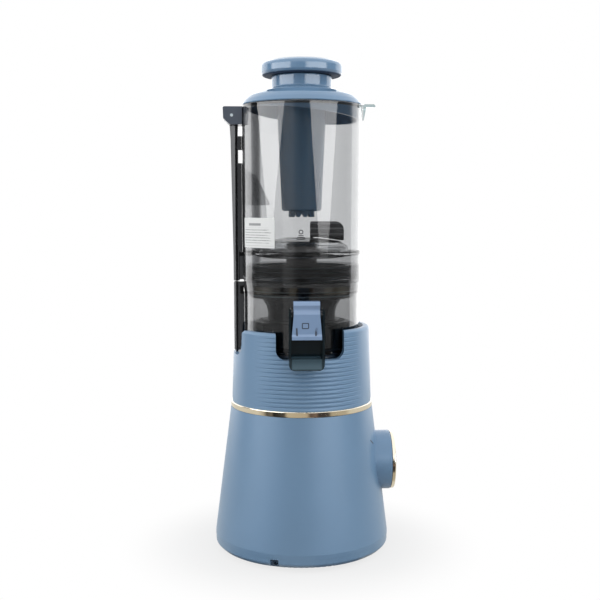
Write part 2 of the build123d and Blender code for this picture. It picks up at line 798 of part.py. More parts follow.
def pulp_chute():
    """Sloping box chute, open underneath at its outer end."""
    low, mouth, wall = notch_floor + 1.8, deck_top - chute_drop, chute_wall
    root, bend, front = bowl_radius - 3, bowl_radius + chute_bend, bowl_radius + chute_front
    brow, top = mouth + chute_mouth_height, mouth + chute_height
    outer = plate_yz([(root, low), (bend, low), (front, mouth), (chute_reach, mouth), (chute_reach, brow),
                      (front - 3, top - 2), (root, top)], chute_width, [(4, 6), (5, 8)])
    floor, inner_reach = low + wall + 1, chute_reach - wall
    inner = plate_yz([(root - 2, floor), (bend + 0.8, floor), (front + 2, mouth + 1), (front + 2, mouth - 8),
                      (inner_reach, mouth - 8), (inner_reach, brow - 1), (front - 4, top - wall - 2),
                      (root - 2, top - wall)], chute_width - 2 * wall, [(5, 4), (6, 6)])
    return outer - inner - rod(bowl_radius + 0.05, 0, beyond)


def lower_rod_guide():
    """Clear rail on the bowl that guides the lower safety rod."""
    low, top = notch_floor + 1.7, bowl_top - 0.2
    rail = plate_xz([(-rail_low_outer, low), (-rail_low_inner, low), (-rail_mid_inner, top),
                     (-rail_mid_outer, top)], rail_width)
    rail = fillet(rail.edges().filter_by(Axis.Z, 3), 1.2)
    half = web_thickness / 2
    web = block(-rail_low_inner - 1.5, -bowl_radius + 2, -half, half, low + 3, top - 4.5)
    bowl = rod(bowl_ring_radius + 0.05, bowl_step, beyond) + rod(bowl_radius + 0.05, 0, bowl_step)
    return rail + (web - bowl) - rod(rod_radius + running_gap, low - 1, top + 1, -rod_offset)


def lower_rod():
    """Steel rod that presses the safety switch."""
    return rod(rod_radius, deck_under + seat_gap, rod_split - 0.2, -rod_offset)


def strainer():
    """Slotted basket with a flat shoulder, a narrow waist and a flared top edge."""
    foot, waist, flare = strainer_foot_radius, strainer_waist_radius, strainer_flare_radius
    neck, wall = strainer_neck_radius, strainer_wall
    low, mid, shoulder = bowl_floor_top, strainer_waist, strainer_flare
    foot_top = bowl_low + strainer_foot_top
    profile = [
        (foot - 3, low), (foot, low + 3), (foot, foot_top), (waist + 0.3, mid - 5.4), (waist, mid),
        (waist + 1.5, mid + 6.5), (flare, shoulder), (neck, shoulder + 1.3), (neck, shoulder + 3),
        (neck - wall, shoulder + 3), (neck - wall, shoulder + 2), (flare - wall + 1, shoulder + 1.2),
        (flare - wall, shoulder + 0.8), (waist + 1.6 - wall, mid + 7), (waist - wall, mid),
        (waist + 0.3 - wall, mid - 6.4), (foot - wall, foot_top - wall), (foot - wall, low + 3.6),
        (foot - 4.5, low + wall), (bowl_hub_radius + 7, low + wall), (bowl_hub_radius + 7, low)]
    basket = turned(profile, [(2, 2.5), (3, 1.0), (16, 1.5)])
    half = slot_width / 2
    slot = block(waist - 8, flare + 6, -half, half, mid + 5, shoulder - 2.5)
    low_slot = block(foot - 8, foot + 4, -half, half, low + 5, foot_top - 4)
    basket = basket - around(slot, strainer_slots) - around(low_slot, strainer_slots, 7.5)
    pulp = block(foot - 12, foot + 8, -11, 11, low + wall, foot_top - 5)
    return basket - Rot(0, 0, pulp_notch_angle) * pulp


def strainer_collar():
    """Frame round the top of the basket, with one broad ring and two narrow ones."""
    big, neck, top = strainer_ring_radius, strainer_neck_radius, strainer_top_radius
    low, ring_top, high = strainer_flare + 1.3, bowl_low + strainer_ring_top, strainer_top
    seat, inner = strainer_flare + 3 + joint_gap, neck - strainer_wall
    return turned([
        (neck + joint_gap, low), (big - 1.2, low), (big, low + 1.7), (big, ring_top - 1), (big - 1, ring_top),
        (neck, ring_top + 0.3), (neck, ring_top + 4.2), (neck + 1.2, ring_top + 4.8), (neck + 1.2, high - 8),
        (neck, high - 7.4), (neck, high - 6.6), (neck + 0.8, high - 6.2), (top, high - 2), (top, high),
        (inner, high), (inner, seat), (neck + joint_gap, seat)])


def cap_hinge_pin():
    """Pin through the cheeks of the spout."""
    half = spout_width / 2 - 0.2
    return bar_x(hinge_pin_radius, -half, half, hinge_height, -hinge_reach)


# -------------------------------------------------------------- juice cap body
def juice_cap():
    """Swinging cap with a finger groove, a lower flange and a plug holder."""
    face, back, flange = -cap_front, -cap_front + cap_wall, -cap_front - cap_flange
    block_back, shoulder = -hinge_reach + 3.2, cap_high - 13.5
    side = [
        (flange, cap_low), (flange, cap_low + 3), (face, cap_low + 4.6), (face - 0.2, cap_high - 10.8),
        (face + 2.6, cap_high - 7.0), (face + 0.8, cap_high - 3.2), (face + 2, cap_high),
        (block_back - 0.4, cap_high), (block_back, cap_high - 3.5), (block_back, shoulder),
        (back, shoulder - 1.2), (back, cap_low)]
    shell = plate_yz(side, cap_width, [(1, 1.0), (2, 1.0), (4, 3.0), (6, 1.2)])
    half, top_half = cap_width / 2, cap_top_width / 2
    front = plate_xz([(-half, cap_low), (half, cap_low), (half, cap_low + 4), (top_half, cap_high - 12),
                      (top_half, cap_high), (-top_half, cap_high), (-top_half, cap_high - 12),
                      (-half, cap_low + 4)], beyond)
    shell = shell & front
    arm = block(top_half - 2, top_half - 0.2, back - 0.5, -hinge_reach + 1.5, cap_low + 4, cap_high - 12)
    holder = block(-7, 7, back - 0.5, -plug_front, port_height - 8, port_height + 8)
    shell = shell + arm + mirror(arm, Plane.YZ) + holder
    slot = block(8.2, 9.2, flange - 1, face + 0.9, cap_low + 4.5, cap_low + 10.5)
    shell = shell - slot - mirror(slot, Plane.YZ)
    return shell - bar_x(hinge_pin_radius + running_gap, -20, 20, hinge_height, -hinge_reach)


def cap_plug():
    """Soft plug that closes the port."""
    disc = bar_y(plug_radius, -plug_front, -plug_back, port_height)
    wide, narrow = port_radius - 0.4, port_radius - 1.2
    nose = Pos(0, -plug_back + plug_nose / 2, port_height) * Rot(-90, 0, 0) * Cone(wide, narrow, plug_nose)
    return disc + nose


# ------------------------------------------------------------------ auger body
def auger_envelope():
    """Space inside the strainer, less the gap round the flights."""
    inset = strainer_wall + auger_gap
    waist, flare = strainer_waist_radius - inset, strainer_flare_radius - inset
    neck = strainer_neck_radius - inset
    low, top = auger_low, auger_top
    return turned([(0, low), (waist, low), (waist, strainer_waist), (waist + 1.2, strainer_waist + 7),
                   (flare, strainer_flare + 1.5), (neck, strainer_flare + 4), (neck, top - 3),
                   (neck - 6, top), (0, top)])


def auger_screw():
    """Tapered core with helical flights and a six-sided socket."""
    low, top = auger_low, auger_top
    core = turned([(0, low), (auger_core_low, low), (auger_core_low, strainer_waist - 4),
                   (auger_core_high, strainer_flare + 8), (auger_core_high, top - 6),
                   (head_hub_radius, top), (0, top)], [(2, 8), (3, 6), (4, 3)])
    reach = strainer_neck_radius + 3
    half = flight_thickness / 2
    path = Helix(pitch=flight_pitch, height=top - low + flight_pitch / 2, radius=reach - 10,
                 center=(0, 0, low - flight_pitch / 4))
    start = Plane(origin=path @ 0, x_dir=(1, 0, 0), z_dir=(0, -1, 0))
    blade = outline([(22 - reach, -half - 1), (10, -half + 0.4), (10, half - 0.4), (22 - reach, half + 1)])
    flight = sweep(start * blade, path=path, is_frenet=True)
    envelope = auger_envelope()
    screw_body = core
    for i in range(flight_starts):
        screw_body = screw_body + (Rot(0, 0, 360 / flight_starts * i) * flight & envelope)
    screw_body = screw_body - rod(bowl_hub_radius + 0.6, low - 1, bowl_hub_top + seat_gap)
    return screw_body - hexagon(shaft_hex + 0.35, low - 1, shaft_top + 1)


def auger_head():
    """Hub on top of the auger with the feed disc and the cutting wing."""
    low, rim, hub, radius = head_low, head_low + head_rim_height, head_hub_radius, head_radius
    stem = turned([(0, auger_top), (hub, auger_top), (hub, head_hub_top - 2), (hub - 3, head_hub_top),
                   (0, head_hub_top)], [(2, 2)])
    disc = turned([(0, low + 1), (hub, low + 1), (radius - 2, low), (radius, low + 2), (radius, rim),
                   (hub + 4, rim + 5), (0, rim + 8)])
    mouth = turned([(hub + 8, low - 5), (beyond, low - 5), (beyond, rim + 20), (hub + 8, rim + 20)],
                   arc=70, start=22)
    foot, root = dome_top + wing_gap, head_hub_top - 6
    wing = plate_xz([(8, root), (11, root), (11, foot), (hopper_floor_hole, foot), (head_radius, wing_low),
                     (wing_reach, wing_low), (wing_reach, wing_high), (8, wing_high)],
                    wing_thickness, [(5, 1), (6, 8), (7, 2)])
    return stem + (disc - mouth) + wing


# ----------------------------------------------------------------- hopper body
def hopper():
    """Wide clear hopper with its domed floor, feed opening, ear and inner fin."""
    floor, dome, thick = hopper_floor, dome_radius, floor_thickness
    spigot, spigot_inner_radius = hopper_spigot, hopper_spigot - hopper_spigot_wall
    profile = [
        (hopper_low_radius, hopper_low), (hopper_high_radius, hopper_top), (hopper_inner_high, hopper_top),
        (hopper_inner_low, floor + 2.8), (dome, floor), (dome - 1.3, floor + 7.5), (dome - 8.5, floor + 12.4),
        (hopper_floor_hole, dome_top), (hopper_floor_hole, dome_top - thick),
        (dome - 9.3, floor + 12.6 - thick), (dome - 3.4, floor + 6.6), (dome - 2.1, floor - thick),
        (hopper_inner_low, floor + 0.4), (hopper_inner_low, hopper_low + 5.2),
        (spigot_inner_radius, hopper_low + 2.2), (spigot_inner_radius, hopper_spigot_low),
        (spigot, hopper_spigot_low), (spigot, hopper_low)]
    body = turned(profile, [(1, 0.8), (3, 2.0), (4, 1.5), (5, 6.0), (6, 8.0), (9, 5.0), (10, 4.0)])
    under, over = floor - 0.8 * dome_rise, floor + 2 * dome_rise
    opening = turned([(0, under), (feed_radius, under), (feed_radius, over), (0, over)],
                     arc=feed_end - feed_start, start=feed_start)
    body = body - opening
    wall, top = hopper_inner_high, hopper_top
    tip, high = -wall + fin_reach, top - fin_drop
    fin = plate_xz([(-wall - 1, high), (tip - 13, high - fin_step), (tip, high - fin_depth + 1.5),
                    (tip - 1.4, high - fin_depth), (-wall - 1, high - fin_depth)], 3.0, [(1, 6), (2, 1)])
    ear_top, reach = top + ear_above_rim, ear_reach
    ear_low = ear_top - ear_thickness
    ear = plate_xz([(wall + 1, ear_low), (reach - 1, ear_low), (reach, ear_low + 1), (reach - 1.6, ear_top),
                    (hopper_high_radius + 1, ear_top), (hopper_high_radius + 1, top), (wall + 1, top)],
                   ear_width, [(3, 1.2)])
    ear = fillet(ear.edges().filter_by(Axis.Z, 20).sort_by(Axis.X)[-2:], 0.8)
    gusset = plate_xz([(wall + 1, top - 15), (hopper_high_radius + 1.7, top - 13),
                       (hopper_high_radius + 4, ear_low + 0.5), (wall + 1, ear_low + 0.5)], 3.0)
    body = body + fin + (ear + gusset - rod(wall + 1, 0, beyond))
    half = tongue_width / 2 + tongue_play
    slot = block(-hopper_high_radius - 2, -lid_skirt_radius + 1, -half, half, top - tongue_depth, top + 1)
    return body - slot


def interlock_head():
    """Dark pocket box that the tongue of the lid drops into."""
    high, low = lock_high, lock_low
    wall, cut = hopper_high_radius + 0.1, 5.5
    body = plate_xz([(-lock_reach, high), (-lock_reach + 0.4, low + cut), (-lock_reach + 6, low),
                     (-wall + 1, low), (-wall + 1, high)], lock_width, [(0, 1.6), (1, 1.5)])
    body = fillet(body.edges().filter_by(Axis.Z, 8).sort_by(Axis.X)[:2], 1.5)
    inner = lock_width / 2 - lock_wall
    pocket = block(-lock_reach + lock_wall, -rod_offset + 2.6, -inner, inner, low + cut, high + 1)
    half = tongue_width / 2 + tongue_play
    slot = block(-rod_offset, -wall + 2, -half, half, hopper_top - tongue_depth, high + 1)
    body = body - pocket - slot - rod(wall, 0, beyond)
    return body - rod(rod_radius + running_gap, low - 2, high, -rod_offset)


def upper_rod_guide():
    """Clear rail on the hopper that guides the upper safety rod."""
    low, mid, top = hopper_low, hopper_low + rail_mid_rise, hopper_top - rail_top_drop
    rail = plate_xz([(-rail_mid_outer, low), (-rail_mid_inner, low), (-rail_high_inner, top),
                     (-rail_high_inner + 0.4, lock_low), (-rail_high_outer - 0.8, lock_low),
                     (-rail_high_outer, top), (-rail_mid_outer - 0.1, mid)], rail_width, [(2, 6), (5, 6)])
    web_inner = -hopper_low_radius + 2
    web = block(-rail_mid_inner - 2, web_inner, -web_thickness / 2, web_thickness / 2, mid, top + 3)
    window_top = top - 10
    window = block(-rail_high_inner + 0.3, web_inner + 1, -5, 5, window_top - window_height, window_top)
    wall = turned([(0, hopper_low - 1), (hopper_low_radius + 0.05, hopper_low - 1),
                   (hopper_high_radius + 0.05, hopper_top), (0, hopper_top)])
    body = rail + (web - window - wall)
    return body - rod(rod_radius + running_gap, low - 1, lock_low + 1, -rod_offset)


def upper_rod():
    """Steel rod between the lid and the lower rod."""
    return rod(rod_radius, rod_split + 0.2, hopper_top - tongue_depth, -rod_offset)


# -------------------------------------------------------------------- lid body
def lid():
    """Domed lid with the feed neck, the slanted inner skirt and the rear tongue."""
    low, neck, edge = lid_low, lid_neck_radius, lid_radius
    crown, inner = low + lid_crown, lid_bore + lid_wall
    deep = low - 2 * lid_skirt_depth
    profile = [
        (lid_bore, neck_top), (neck, neck_top), (neck, crown), (edge - 14.5, crown - 3.8),
        (edge - 5.8, crown - 7.5), (edge - 2, crown - 11.3), (edge, low + 0.8), (edge - 0.3, low),
        (lid_skirt_radius, low), (lid_skirt_radius, deep), (lid_skirt_radius - 2, deep),
        (lid_skirt_radius - 2, low + 4), (edge - 7.5, crown - 9.4), (edge - 15, crown - 6.2),
        (neck - 1, crown - 2.4),
        (inner, crown - 2.4), (inner, crown - 10), (lid_bore, crown - 10)]
    body = turned(profile, [(1, 1.2), (2, 2.0), (3, 12), (4, 8), (5, 6)])
    under = block(-beyond, beyond, -beyond, beyond, -beyond, 0)
    body = body - Pos(0, 0, low - lid_skirt_depth) * Rot(lid_skirt_roll, lid_skirt_tilt, 0) * under
    half, back = tongue_width / 2, -lid_skirt_radius + 1.5
    tongue_low = hopper_top - tongue_depth + seat_gap
    tongue = block(-rod_offset - 5, back, -half, half, tongue_low, lock_high - seat_gap)
    bridge = block(-lid_radius + 1, back, -half, half, lock_high - 1, low + 2)
    return body + tongue + bridge


def lid_seal():
    """Soft ring in the angle between the lid and its skirt."""
    low = lid_low - 2.9
    outer = lid_skirt_radius + 0.9
    seal = turned([(lid_skirt_radius, low), (outer, low + 0.6), (outer, low + 1.4),
                   (lid_skirt_radius, low + 2)])
    half = tongue_width / 2 + 2
    return seal - block(-lid_radius - 4, -lid_skirt_radius + 3, -half, half, low - 5, low + 10)


# ----------------------------------------------------------------- pusher body
def pusher_cap():
    """Round cap of the food pusher."""
    low, high, radius = pusher_cap_low, pusher_cap_low + pusher_cap_height, pusher_cap_radius
    return turned([(0, low), (radius - 2, low), (radius, low + 3), (radius, high - 3.5),
                   (radius - 6, high - 0.8), (0, high)], [(1, 1.5), (3, 4)])


def pusher_body():
    """Hollow tapered stem of the pusher with a closed lower end."""
    top, low, wall = pusher_cap_low, pusher_low, pusher_wall
    straight = lid_low - pusher_taper_top
    outer, end = pusher_radius, pusher_low_radius
    return turned([(end - 1.5, low), (end, low + 1.5), (outer, straight), (outer, top), (outer - wall, top),
                   (outer - wall, straight), (end - wall, low + 4), (0, low + 4), (0, low)])


def pusher_teeth():
    """Toothed ring under the pusher that holds the food."""
    tip = pusher_low - teeth_depth
    base = ring(teeth_radius, teeth_radius - 2.4, tip, pusher_low)
    cutter = plate_yz([(-2.4, tip - 0.5), (2.4, tip - 0.5), (0, pusher_low - 1.8)], 4 * teeth_radius)
    return base - [Rot(0, 0, 360 / teeth_count * i) * cutter for i in range(teeth_count // 2)]


# ---------------------------------------------------------------------- export
nodes = {
    "base_housing": base_housing, "upper_housing": upper_housing, "chrome_band": chrome_band,
    "bottom_cover": bottom_cover, "feet": feet, "base_screws": base_screws, "housing_screws": housing_screws,
    "cord_bushing": cord_bushing, "motor": motor, "gearbox": gearbox, "gearbox_screws": gearbox_screws,
    "shaft_bearing": shaft_bearing, "shaft_seal": shaft_seal, "rotary_switch": rotary_switch,
    "control_board": control_board, "microswitch": microswitch, "drive_shaft": drive_shaft,
    "dial_ring": dial_ring, "dial_cap": dial_cap, "dial_spindle": dial_spindle,
    "juicing_bowl": juicing_bowl, "bowl_seal": bowl_seal, "juice_spout": juice_spout,
    "pulp_chute": pulp_chute, "lower_rod_guide": lower_rod_guide, "lower_rod": lower_rod,
    "strainer": strainer, "strainer_collar": strainer_collar, "cap_hinge_pin": cap_hinge_pin,
    "juice_cap": juice_cap, "cap_plug": cap_plug,
    "auger_screw": auger_screw, "auger_head": auger_head, "hopper": hopper,
    "interlock_head": interlock_head, "upper_rod_guide": upper_rod_guide, "upper_rod": upper_rod,
    "lid": lid, "lid_seal": lid_seal, "pusher_cap": pusher_cap, "pusher_body": pusher_body,
    "pusher_teeth": pusher_teeth}

os.makedirs("parts", exist_ok=True)
for name, make in nodes.items():
    shape = make()
    solids = []
    for piece in (shape if isinstance(shape, list) else [shape]):
        solids.extend(piece.solids())
    part = solids[0] if len(solids) == 1 else Compound(children=solids)
    part.label = name
    export_step(part, f"parts/{name}.step")
    print(f"{name:18s} solids {len(solids):2d}  volume {sum(s.volume for s in solids):10.1f}")
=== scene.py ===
# %% [markdown]
# # An upright slow juicer
#
# The juicer is a tall stack: a tapered motor base, a ribbed collar, a clear bowl with a capped spout,
# a wide smoky hopper and a blue lid with its pusher. All the hard parts come ready made from the CAD
# model. This lesson loads them, gives every part its finish, and adds what is too thin for CAD: a blank
# sticker, printed marks, the dial's ticks and pointer, the grooves of the juice cap, the recesses of the
# screws and two small bridges. Then it sets up a studio, because gloss and clear walls show the room.

# %% Load the parts
import math

import bmesh
import bpy
from mathutils import Matrix, Vector


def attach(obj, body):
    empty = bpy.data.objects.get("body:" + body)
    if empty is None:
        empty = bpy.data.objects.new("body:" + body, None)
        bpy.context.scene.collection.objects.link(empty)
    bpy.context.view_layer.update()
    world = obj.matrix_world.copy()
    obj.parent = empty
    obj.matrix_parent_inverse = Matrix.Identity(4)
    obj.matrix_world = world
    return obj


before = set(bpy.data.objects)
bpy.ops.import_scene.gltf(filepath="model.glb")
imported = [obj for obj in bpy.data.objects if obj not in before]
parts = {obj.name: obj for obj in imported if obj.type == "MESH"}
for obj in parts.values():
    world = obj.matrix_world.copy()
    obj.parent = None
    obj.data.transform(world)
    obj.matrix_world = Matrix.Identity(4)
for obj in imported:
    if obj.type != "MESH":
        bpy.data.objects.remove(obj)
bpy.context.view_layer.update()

MM = 0.001

# %% [markdown]
# ## Shader maths
#
# Procedural finishes are small sums: a mask times a colour, one minus a noise. Wiring Math nodes by hand
# hides that, so a thin class wraps a socket and turns Python's operators into Math nodes. Any other
# node comes from one method that takes its type, its settings and its sockets.

# %% A value in a shader
class Value:
    """One output of a node; arithmetic on it adds Math nodes."""

    def __init__(self, paint, socket):
        self.paint = paint
        self.socket = socket

    def __add__(self, other):
        return self.paint.math("ADD", self, other)

    def __radd__(self, other):
        return self.paint.math("ADD", other, self)

    def __sub__(self, other):
        return self.paint.math("SUBTRACT", self, other)

    def __rsub__(self, other):
        return self.paint.math("SUBTRACT", other, self)

    def __mul__(self, other):
        return self.paint.math("MULTIPLY", self, other)

    def __rmul__(self, other):
        return self.paint.math("MULTIPLY", other, self)

    def __gt__(self, other):
        return self.paint.math("GREATER_THAN", self, other)

    def __lt__(self, other):
        return self.paint.math("LESS_THAN", self, other)


# %% A material under construction
class Paint:
    """The node tree of a material or of the world, with the few nodes that every finish needs."""

    def __init__(self, owner, coordinates="Object"):
        self.owner = owner
        self.owner.use_nodes = True
        self.tree = self.owner.node_tree
        self.tree.nodes.clear()
        self.place = self.node("ShaderNodeTexCoord", output=coordinates)

    def node(self, kind, settings=None, sockets=None, output=0):
        """Any node: its settings first, then the values or links of its sockets."""
        made = self.tree.nodes.new(kind)
        for key, value in (settings or {}).items():
            if key == "stops":
                self.set_stops(made.color_ramp, value)
            else:
                setattr(made, key, value)
        for key, value in (sockets or {}).items():
            if isinstance(value, Value):
                self.tree.links.new(value.socket, made.inputs[key])
            else:
                made.inputs[key].default_value = value
        return Value(self, made.outputs[output]) if len(made.outputs) else None

    def set_stops(self, ramp, stops):
        """Gives a colour ramp its stops, which are pairs of position and colour."""
        while len(ramp.elements) < len(stops):
            ramp.elements.new(1.0)
        for element, (position, colour) in zip(ramp.elements, stops):
            element.position = position
            element.color = colour

    def math(self, operation, first, second=0.0):
        """A Math node; each of its two numbers is a value or a link."""
        return self.node("ShaderNodeMath", {"operation": operation}, {0: first, 1: second})

    def largest(self, first, *others):
        """The largest of several masks, so that they overlap without adding up."""
        for other in others:
            first = self.math("MAXIMUM", first, other)
        return first

    def mix(self, share, low, high):
        """Colour between low and high."""
        return self.node("ShaderNodeMix", {"data_type": "RGBA"}, {0: share, 6: low, 7: high}, output=2)

    def mix_shaders(self, share, low, high):
        """Shader between low and high."""
        return self.node("ShaderNodeMixShader", None, {0: share, 1: low, 2: high})

    def soften(self, value, low, high, start=0.0, end=1.0):
        """Value mapped from low..high to start..end with soft ends."""
        return self.node("ShaderNodeMapRange", {"interpolation_type": "SMOOTHSTEP"},
                         {0: value, 1: low, 2: high, 3: start, 4: end})

    def axis(self, name, vector=None):
        """One coordinate of a vector, or else of the place on the object, in metres."""
        return self.node("ShaderNodeSeparateXYZ", None, {0: vector or self.place}, output=name)

    def bearing(self):
        """Angle round the upright axis in radians: 0 towards the dial, 180 degrees at the safety rods."""
        return self.math("ARCTAN2", self.axis("Y"), self.axis("X"))

    def noise(self, scale, detail=2.0, stretch=(1.0, 1.0, 1.0)):
        """Soft random pattern; scale is in features per metre."""
        where = self.node("ShaderNodeMapping", None, {"Vector": self.place, "Scale": stretch})
        return self.node("ShaderNodeTexNoise", None, {"Vector": where, "Scale": scale, "Detail": detail})

    def lines(self, along, start, pitch, core, edge):
        """1 on lines that repeat every pitch; core and edge are shares of the pitch from a line's middle."""
        step = self.math("FRACT", (along - start) * (1 / pitch))
        return self.soften(self.math("ABSOLUTE", step - 0.5), core, edge, 1.0, 0.0)

    def bump(self, height, strength, depth):
        """Normal from a height pattern; depth is in metres."""
        return self.node("ShaderNodeBump", None, {"Height": height, "Strength": strength, "Distance": depth})

    def finish(self, **sockets):
        """The surface itself: a Principled shader with the given sockets."""
        wanted = {key.replace("_", " "): value for key, value in sockets.items()}
        surface = self.node("ShaderNodeBsdfPrincipled", None, wanted)
        self.node("ShaderNodeOutputMaterial", None, {"Surface": surface})
        print("finish", self.owner.name, "nodes", len(self.tree.nodes))
        return self.owner


def new_paint(name):
    """An empty material with its node tree."""
    return Paint(bpy.data.materials.new(name))


# %% Colours
def srgb(red, green, blue):
    """Colour given as 0..255 screen values, turned into the linear values that a shader takes."""
    def linear(value):
        share = value / 255
        return share / 12.92 if share <= 0.04045 else ((share + 0.055) / 1.055) ** 2.4
    return (linear(red), linear(green), linear(blue), 1.0)


def shade(colour, factor, lift=0.0):
    """The same colour made lighter or darker; a small lift lets black grow lighter too."""
    return tuple(min(1.0, channel * factor + lift) for channel in colour[:3]) + (1.0,)


# %% [markdown]
# ## Moulded blue plastic
#
# The base, the collar, the lid and the pusher's cap are injection-moulded in one pale blue. Up close such
# a part is not one flat colour: the pigment drifts by a few percent, the tool leaves a fine spark-eroded
# grain, and handling leaves the gloss a little uneven. An image of a scanned plastic could give that, but
# it would need unwrapped parts; a soft noise for each of the three works on any solid. The glossy parts
# have the same recipe with a much finer grain. The cap's underside is kept matt, because it looks down on
# the lid and would mirror the bright floor past it, and its colour is painted dark as the shade under the
# cap.

# %% Blue plastic
# Scales are in features per metre: clouds of pigment, patches of handling, grains of the tool.
PIGMENT_SCALE, HANDLING_SCALE, GRAIN_SCALE = 22.0, 70.0, 1800.0
PIGMENT_DRIFT, HANDLING_SPREAD = 0.06, 0.10
SPARK_GRAIN = 0.02 * MM
POLISHED_GRAIN = 0.004 * MM
CAP_UNDERSIDE = 445.8 * MM
CAP_EDGE = 1.5 * MM
# Painted shade: the dark colour of the pusher cap's underside, where the cap shades itself.
PAINTED_SHADE_UNDER_CAP = srgb(30, 46, 68)


def moulded(name, colour, roughness, grain=SPARK_GRAIN, matt_and_shaded_below=0.0):
    """Opaque moulded plastic with pigment drift, fine grain and uneven gloss; matt and painted dark as shade
    up to a height.
    """
    paint = new_paint(name)
    darker, lighter = shade(colour, 1 - PIGMENT_DRIFT), shade(colour, 1 + PIGMENT_DRIFT)
    tone = paint.mix(paint.noise(PIGMENT_SCALE, 3.0), darker, lighter)
    gloss = roughness + (paint.noise(HANDLING_SCALE) - 0.5) * HANDLING_SPREAD
    # Below the given height the colour is painted shade, and the surface is made matt.
    if matt_and_shaded_below:
        below = paint.soften(paint.axis("Z"), matt_and_shaded_below, matt_and_shaded_below + CAP_EDGE, 1.0, 0.0)
        tone = paint.mix(below, tone, PAINTED_SHADE_UNDER_CAP)
        gloss = gloss + below * 0.6
    relief = paint.bump(paint.noise(GRAIN_SCALE), 0.35, grain)
    return paint.finish(Base_Color=tone, Roughness=gloss, Normal=relief, IOR=1.5)


BLUE = srgb(100, 130, 159)
blue_plastic = moulded("blue_plastic", BLUE, 0.38)
blue_gloss = moulded("blue_gloss", BLUE, 0.14, POLISHED_GRAIN)
cap_blue_shaded_under = moulded("cap_blue_shaded_under", BLUE, 0.14, POLISHED_GRAIN, CAP_UNDERSIDE)
pale_blue = moulded("pale_blue", srgb(122, 146, 178), 0.2, POLISHED_GRAIN)
navy_plastic = moulded("navy_plastic", srgb(76, 108, 136), 0.14, POLISHED_GRAIN)
slate_plastic = moulded("slate_plastic", srgb(62, 70, 82), 0.36)
grey_plastic = moulded("grey_plastic", srgb(112, 114, 118), 0.5)
dark_plastic = moulded("dark_plastic", srgb(40, 42, 46), 0.5)

# %% [markdown]
# ## The black pressing group
#
# Strainer and auger are near-black, and their fine relief is all that shows through the bowl. The collar of
# the strainer has moulded rings every few millimetres, the basket has rows of fine holes between its
# coarse slots, and the auger's wing has raised lines. Thousands of cut holes would make the mesh
# heavy for something a tenth of a millimetre deep, so height and angle on the part give the pattern,
# and bump and colour follow it. The colour is painted light and shade: paler rings and lines as their
# highlights, a paler wing where light falls on the auger's top, and darker holes as the shade in them.

# %% Rings of the strainer's collar
BLACK = srgb(26, 29, 30)
RING_START, RING_PITCH = 240.85 * MM, 4.3 * MM
RING_CORE, RING_EDGE = 0.09, 0.18


def ribbed_black_highlit():
    """The strainer's collar: near-black, with moulded rings painted paler as their highlights."""
    paint = new_paint("ribbed_black_highlit")
    rings_and_highlights = paint.lines(paint.axis("Z"), RING_START, RING_PITCH, RING_CORE, RING_EDGE)
    # The rings' paler colour is painted highlight; the bump is their real relief.
    tone = paint.mix(rings_and_highlights, BLACK, srgb(108, 126, 130))
    return paint.finish(Base_Color=tone, Roughness=0.16 + paint.noise(60.0) * 0.08,
                        Normal=paint.bump(rings_and_highlights, 0.8, 0.8 * MM), IOR=1.5)


ribbed_plastic = ribbed_black_highlit()

# %% Holes of the strainer
HOLES_ROUND = 60
HOLE_PITCH = 1.6 * MM
HOLE_EDGE, HOLE_FULL = 0.62, 0.78


def perforated_black():
    """The strainer: rows of fine holes between its coarse slots, painted darker as the shade inside them."""
    paint = new_paint("perforated_black")
    column = paint.math("ABSOLUTE", paint.math("SINE", paint.bearing() * HOLES_ROUND))
    row = paint.math("ABSOLUTE", paint.math("SINE", paint.axis("Z") * (math.pi / HOLE_PITCH)))
    hole_and_its_shade = paint.soften(column * row, HOLE_EDGE, HOLE_FULL)
    # The darker colour in the holes is painted shade.
    tone = paint.mix(hole_and_its_shade, srgb(22, 32, 35), srgb(9, 12, 13))
    return paint.finish(Base_Color=tone, Roughness=0.16 + hole_and_its_shade * 0.3,
                        Normal=paint.bump(1.0 - hole_and_its_shade, 0.6, 0.5 * MM), IOR=1.3)


mesh_plastic = perforated_black()

# %% Lines of the auger's wing
WING_FOOT, WING_LINES = 296.4 * MM, 5.2 * MM
LINE_CORE, LINE_EDGE = 0.1, 0.2


def auger_black():
    """The auger: glossy black; its wing on top is painted paler as lit from above, and its moulded lines
    painted lighter still as highlights.
    """
    paint = new_paint("auger_black")
    height = paint.axis("Z")
    lit_wing = paint.soften(height, WING_FOOT, WING_FOOT + 1 * MM)
    line = paint.lines(height, WING_FOOT, WING_LINES, LINE_CORE, LINE_EDGE)
    # Painted light: the paler grey of the wing is light falling on the auger's top, and the lighter lines are
    # painted highlights.
    tone = paint.mix(lit_wing, BLACK, paint.mix(line, srgb(86, 87, 89), srgb(126, 128, 130)))
    return paint.finish(Base_Color=tone, Roughness=0.18 + paint.noise(70.0) * 0.1,
                        Normal=paint.bump(line * lit_wing, 0.5, 0.3 * MM), IOR=1.5)


auger_plastic = auger_black()

# %% [markdown]
# ## Bright metal
#
# The trim band and the rim of the dial are plated: almost a mirror, with very fine turning lines and a
# slightly warm tone. The steel parts are plain drawn rod. Metal is a Principled shader with Metallic at
# 1, and all its character is in the roughness pattern, stretched along the way it was turned or drawn.

# %% Metals
TURNED, DRAWN = (1.0, 1.0, 60.0), (60.0, 60.0, 1.0)


def metal(name, colour, roughness, grain=TURNED, spread=0.08):
    """Metal whose roughness carries fine lines along one direction."""
    paint = new_paint(name)
    streak = paint.noise(120.0, 3.0, grain)
    return paint.finish(Base_Color=paint.mix(streak, colour, shade(colour, 0.86)), Metallic=1.0,
                        Roughness=roughness + (streak - 0.5) * spread,
                        Normal=paint.bump(streak, 0.15, 0.01 * MM))


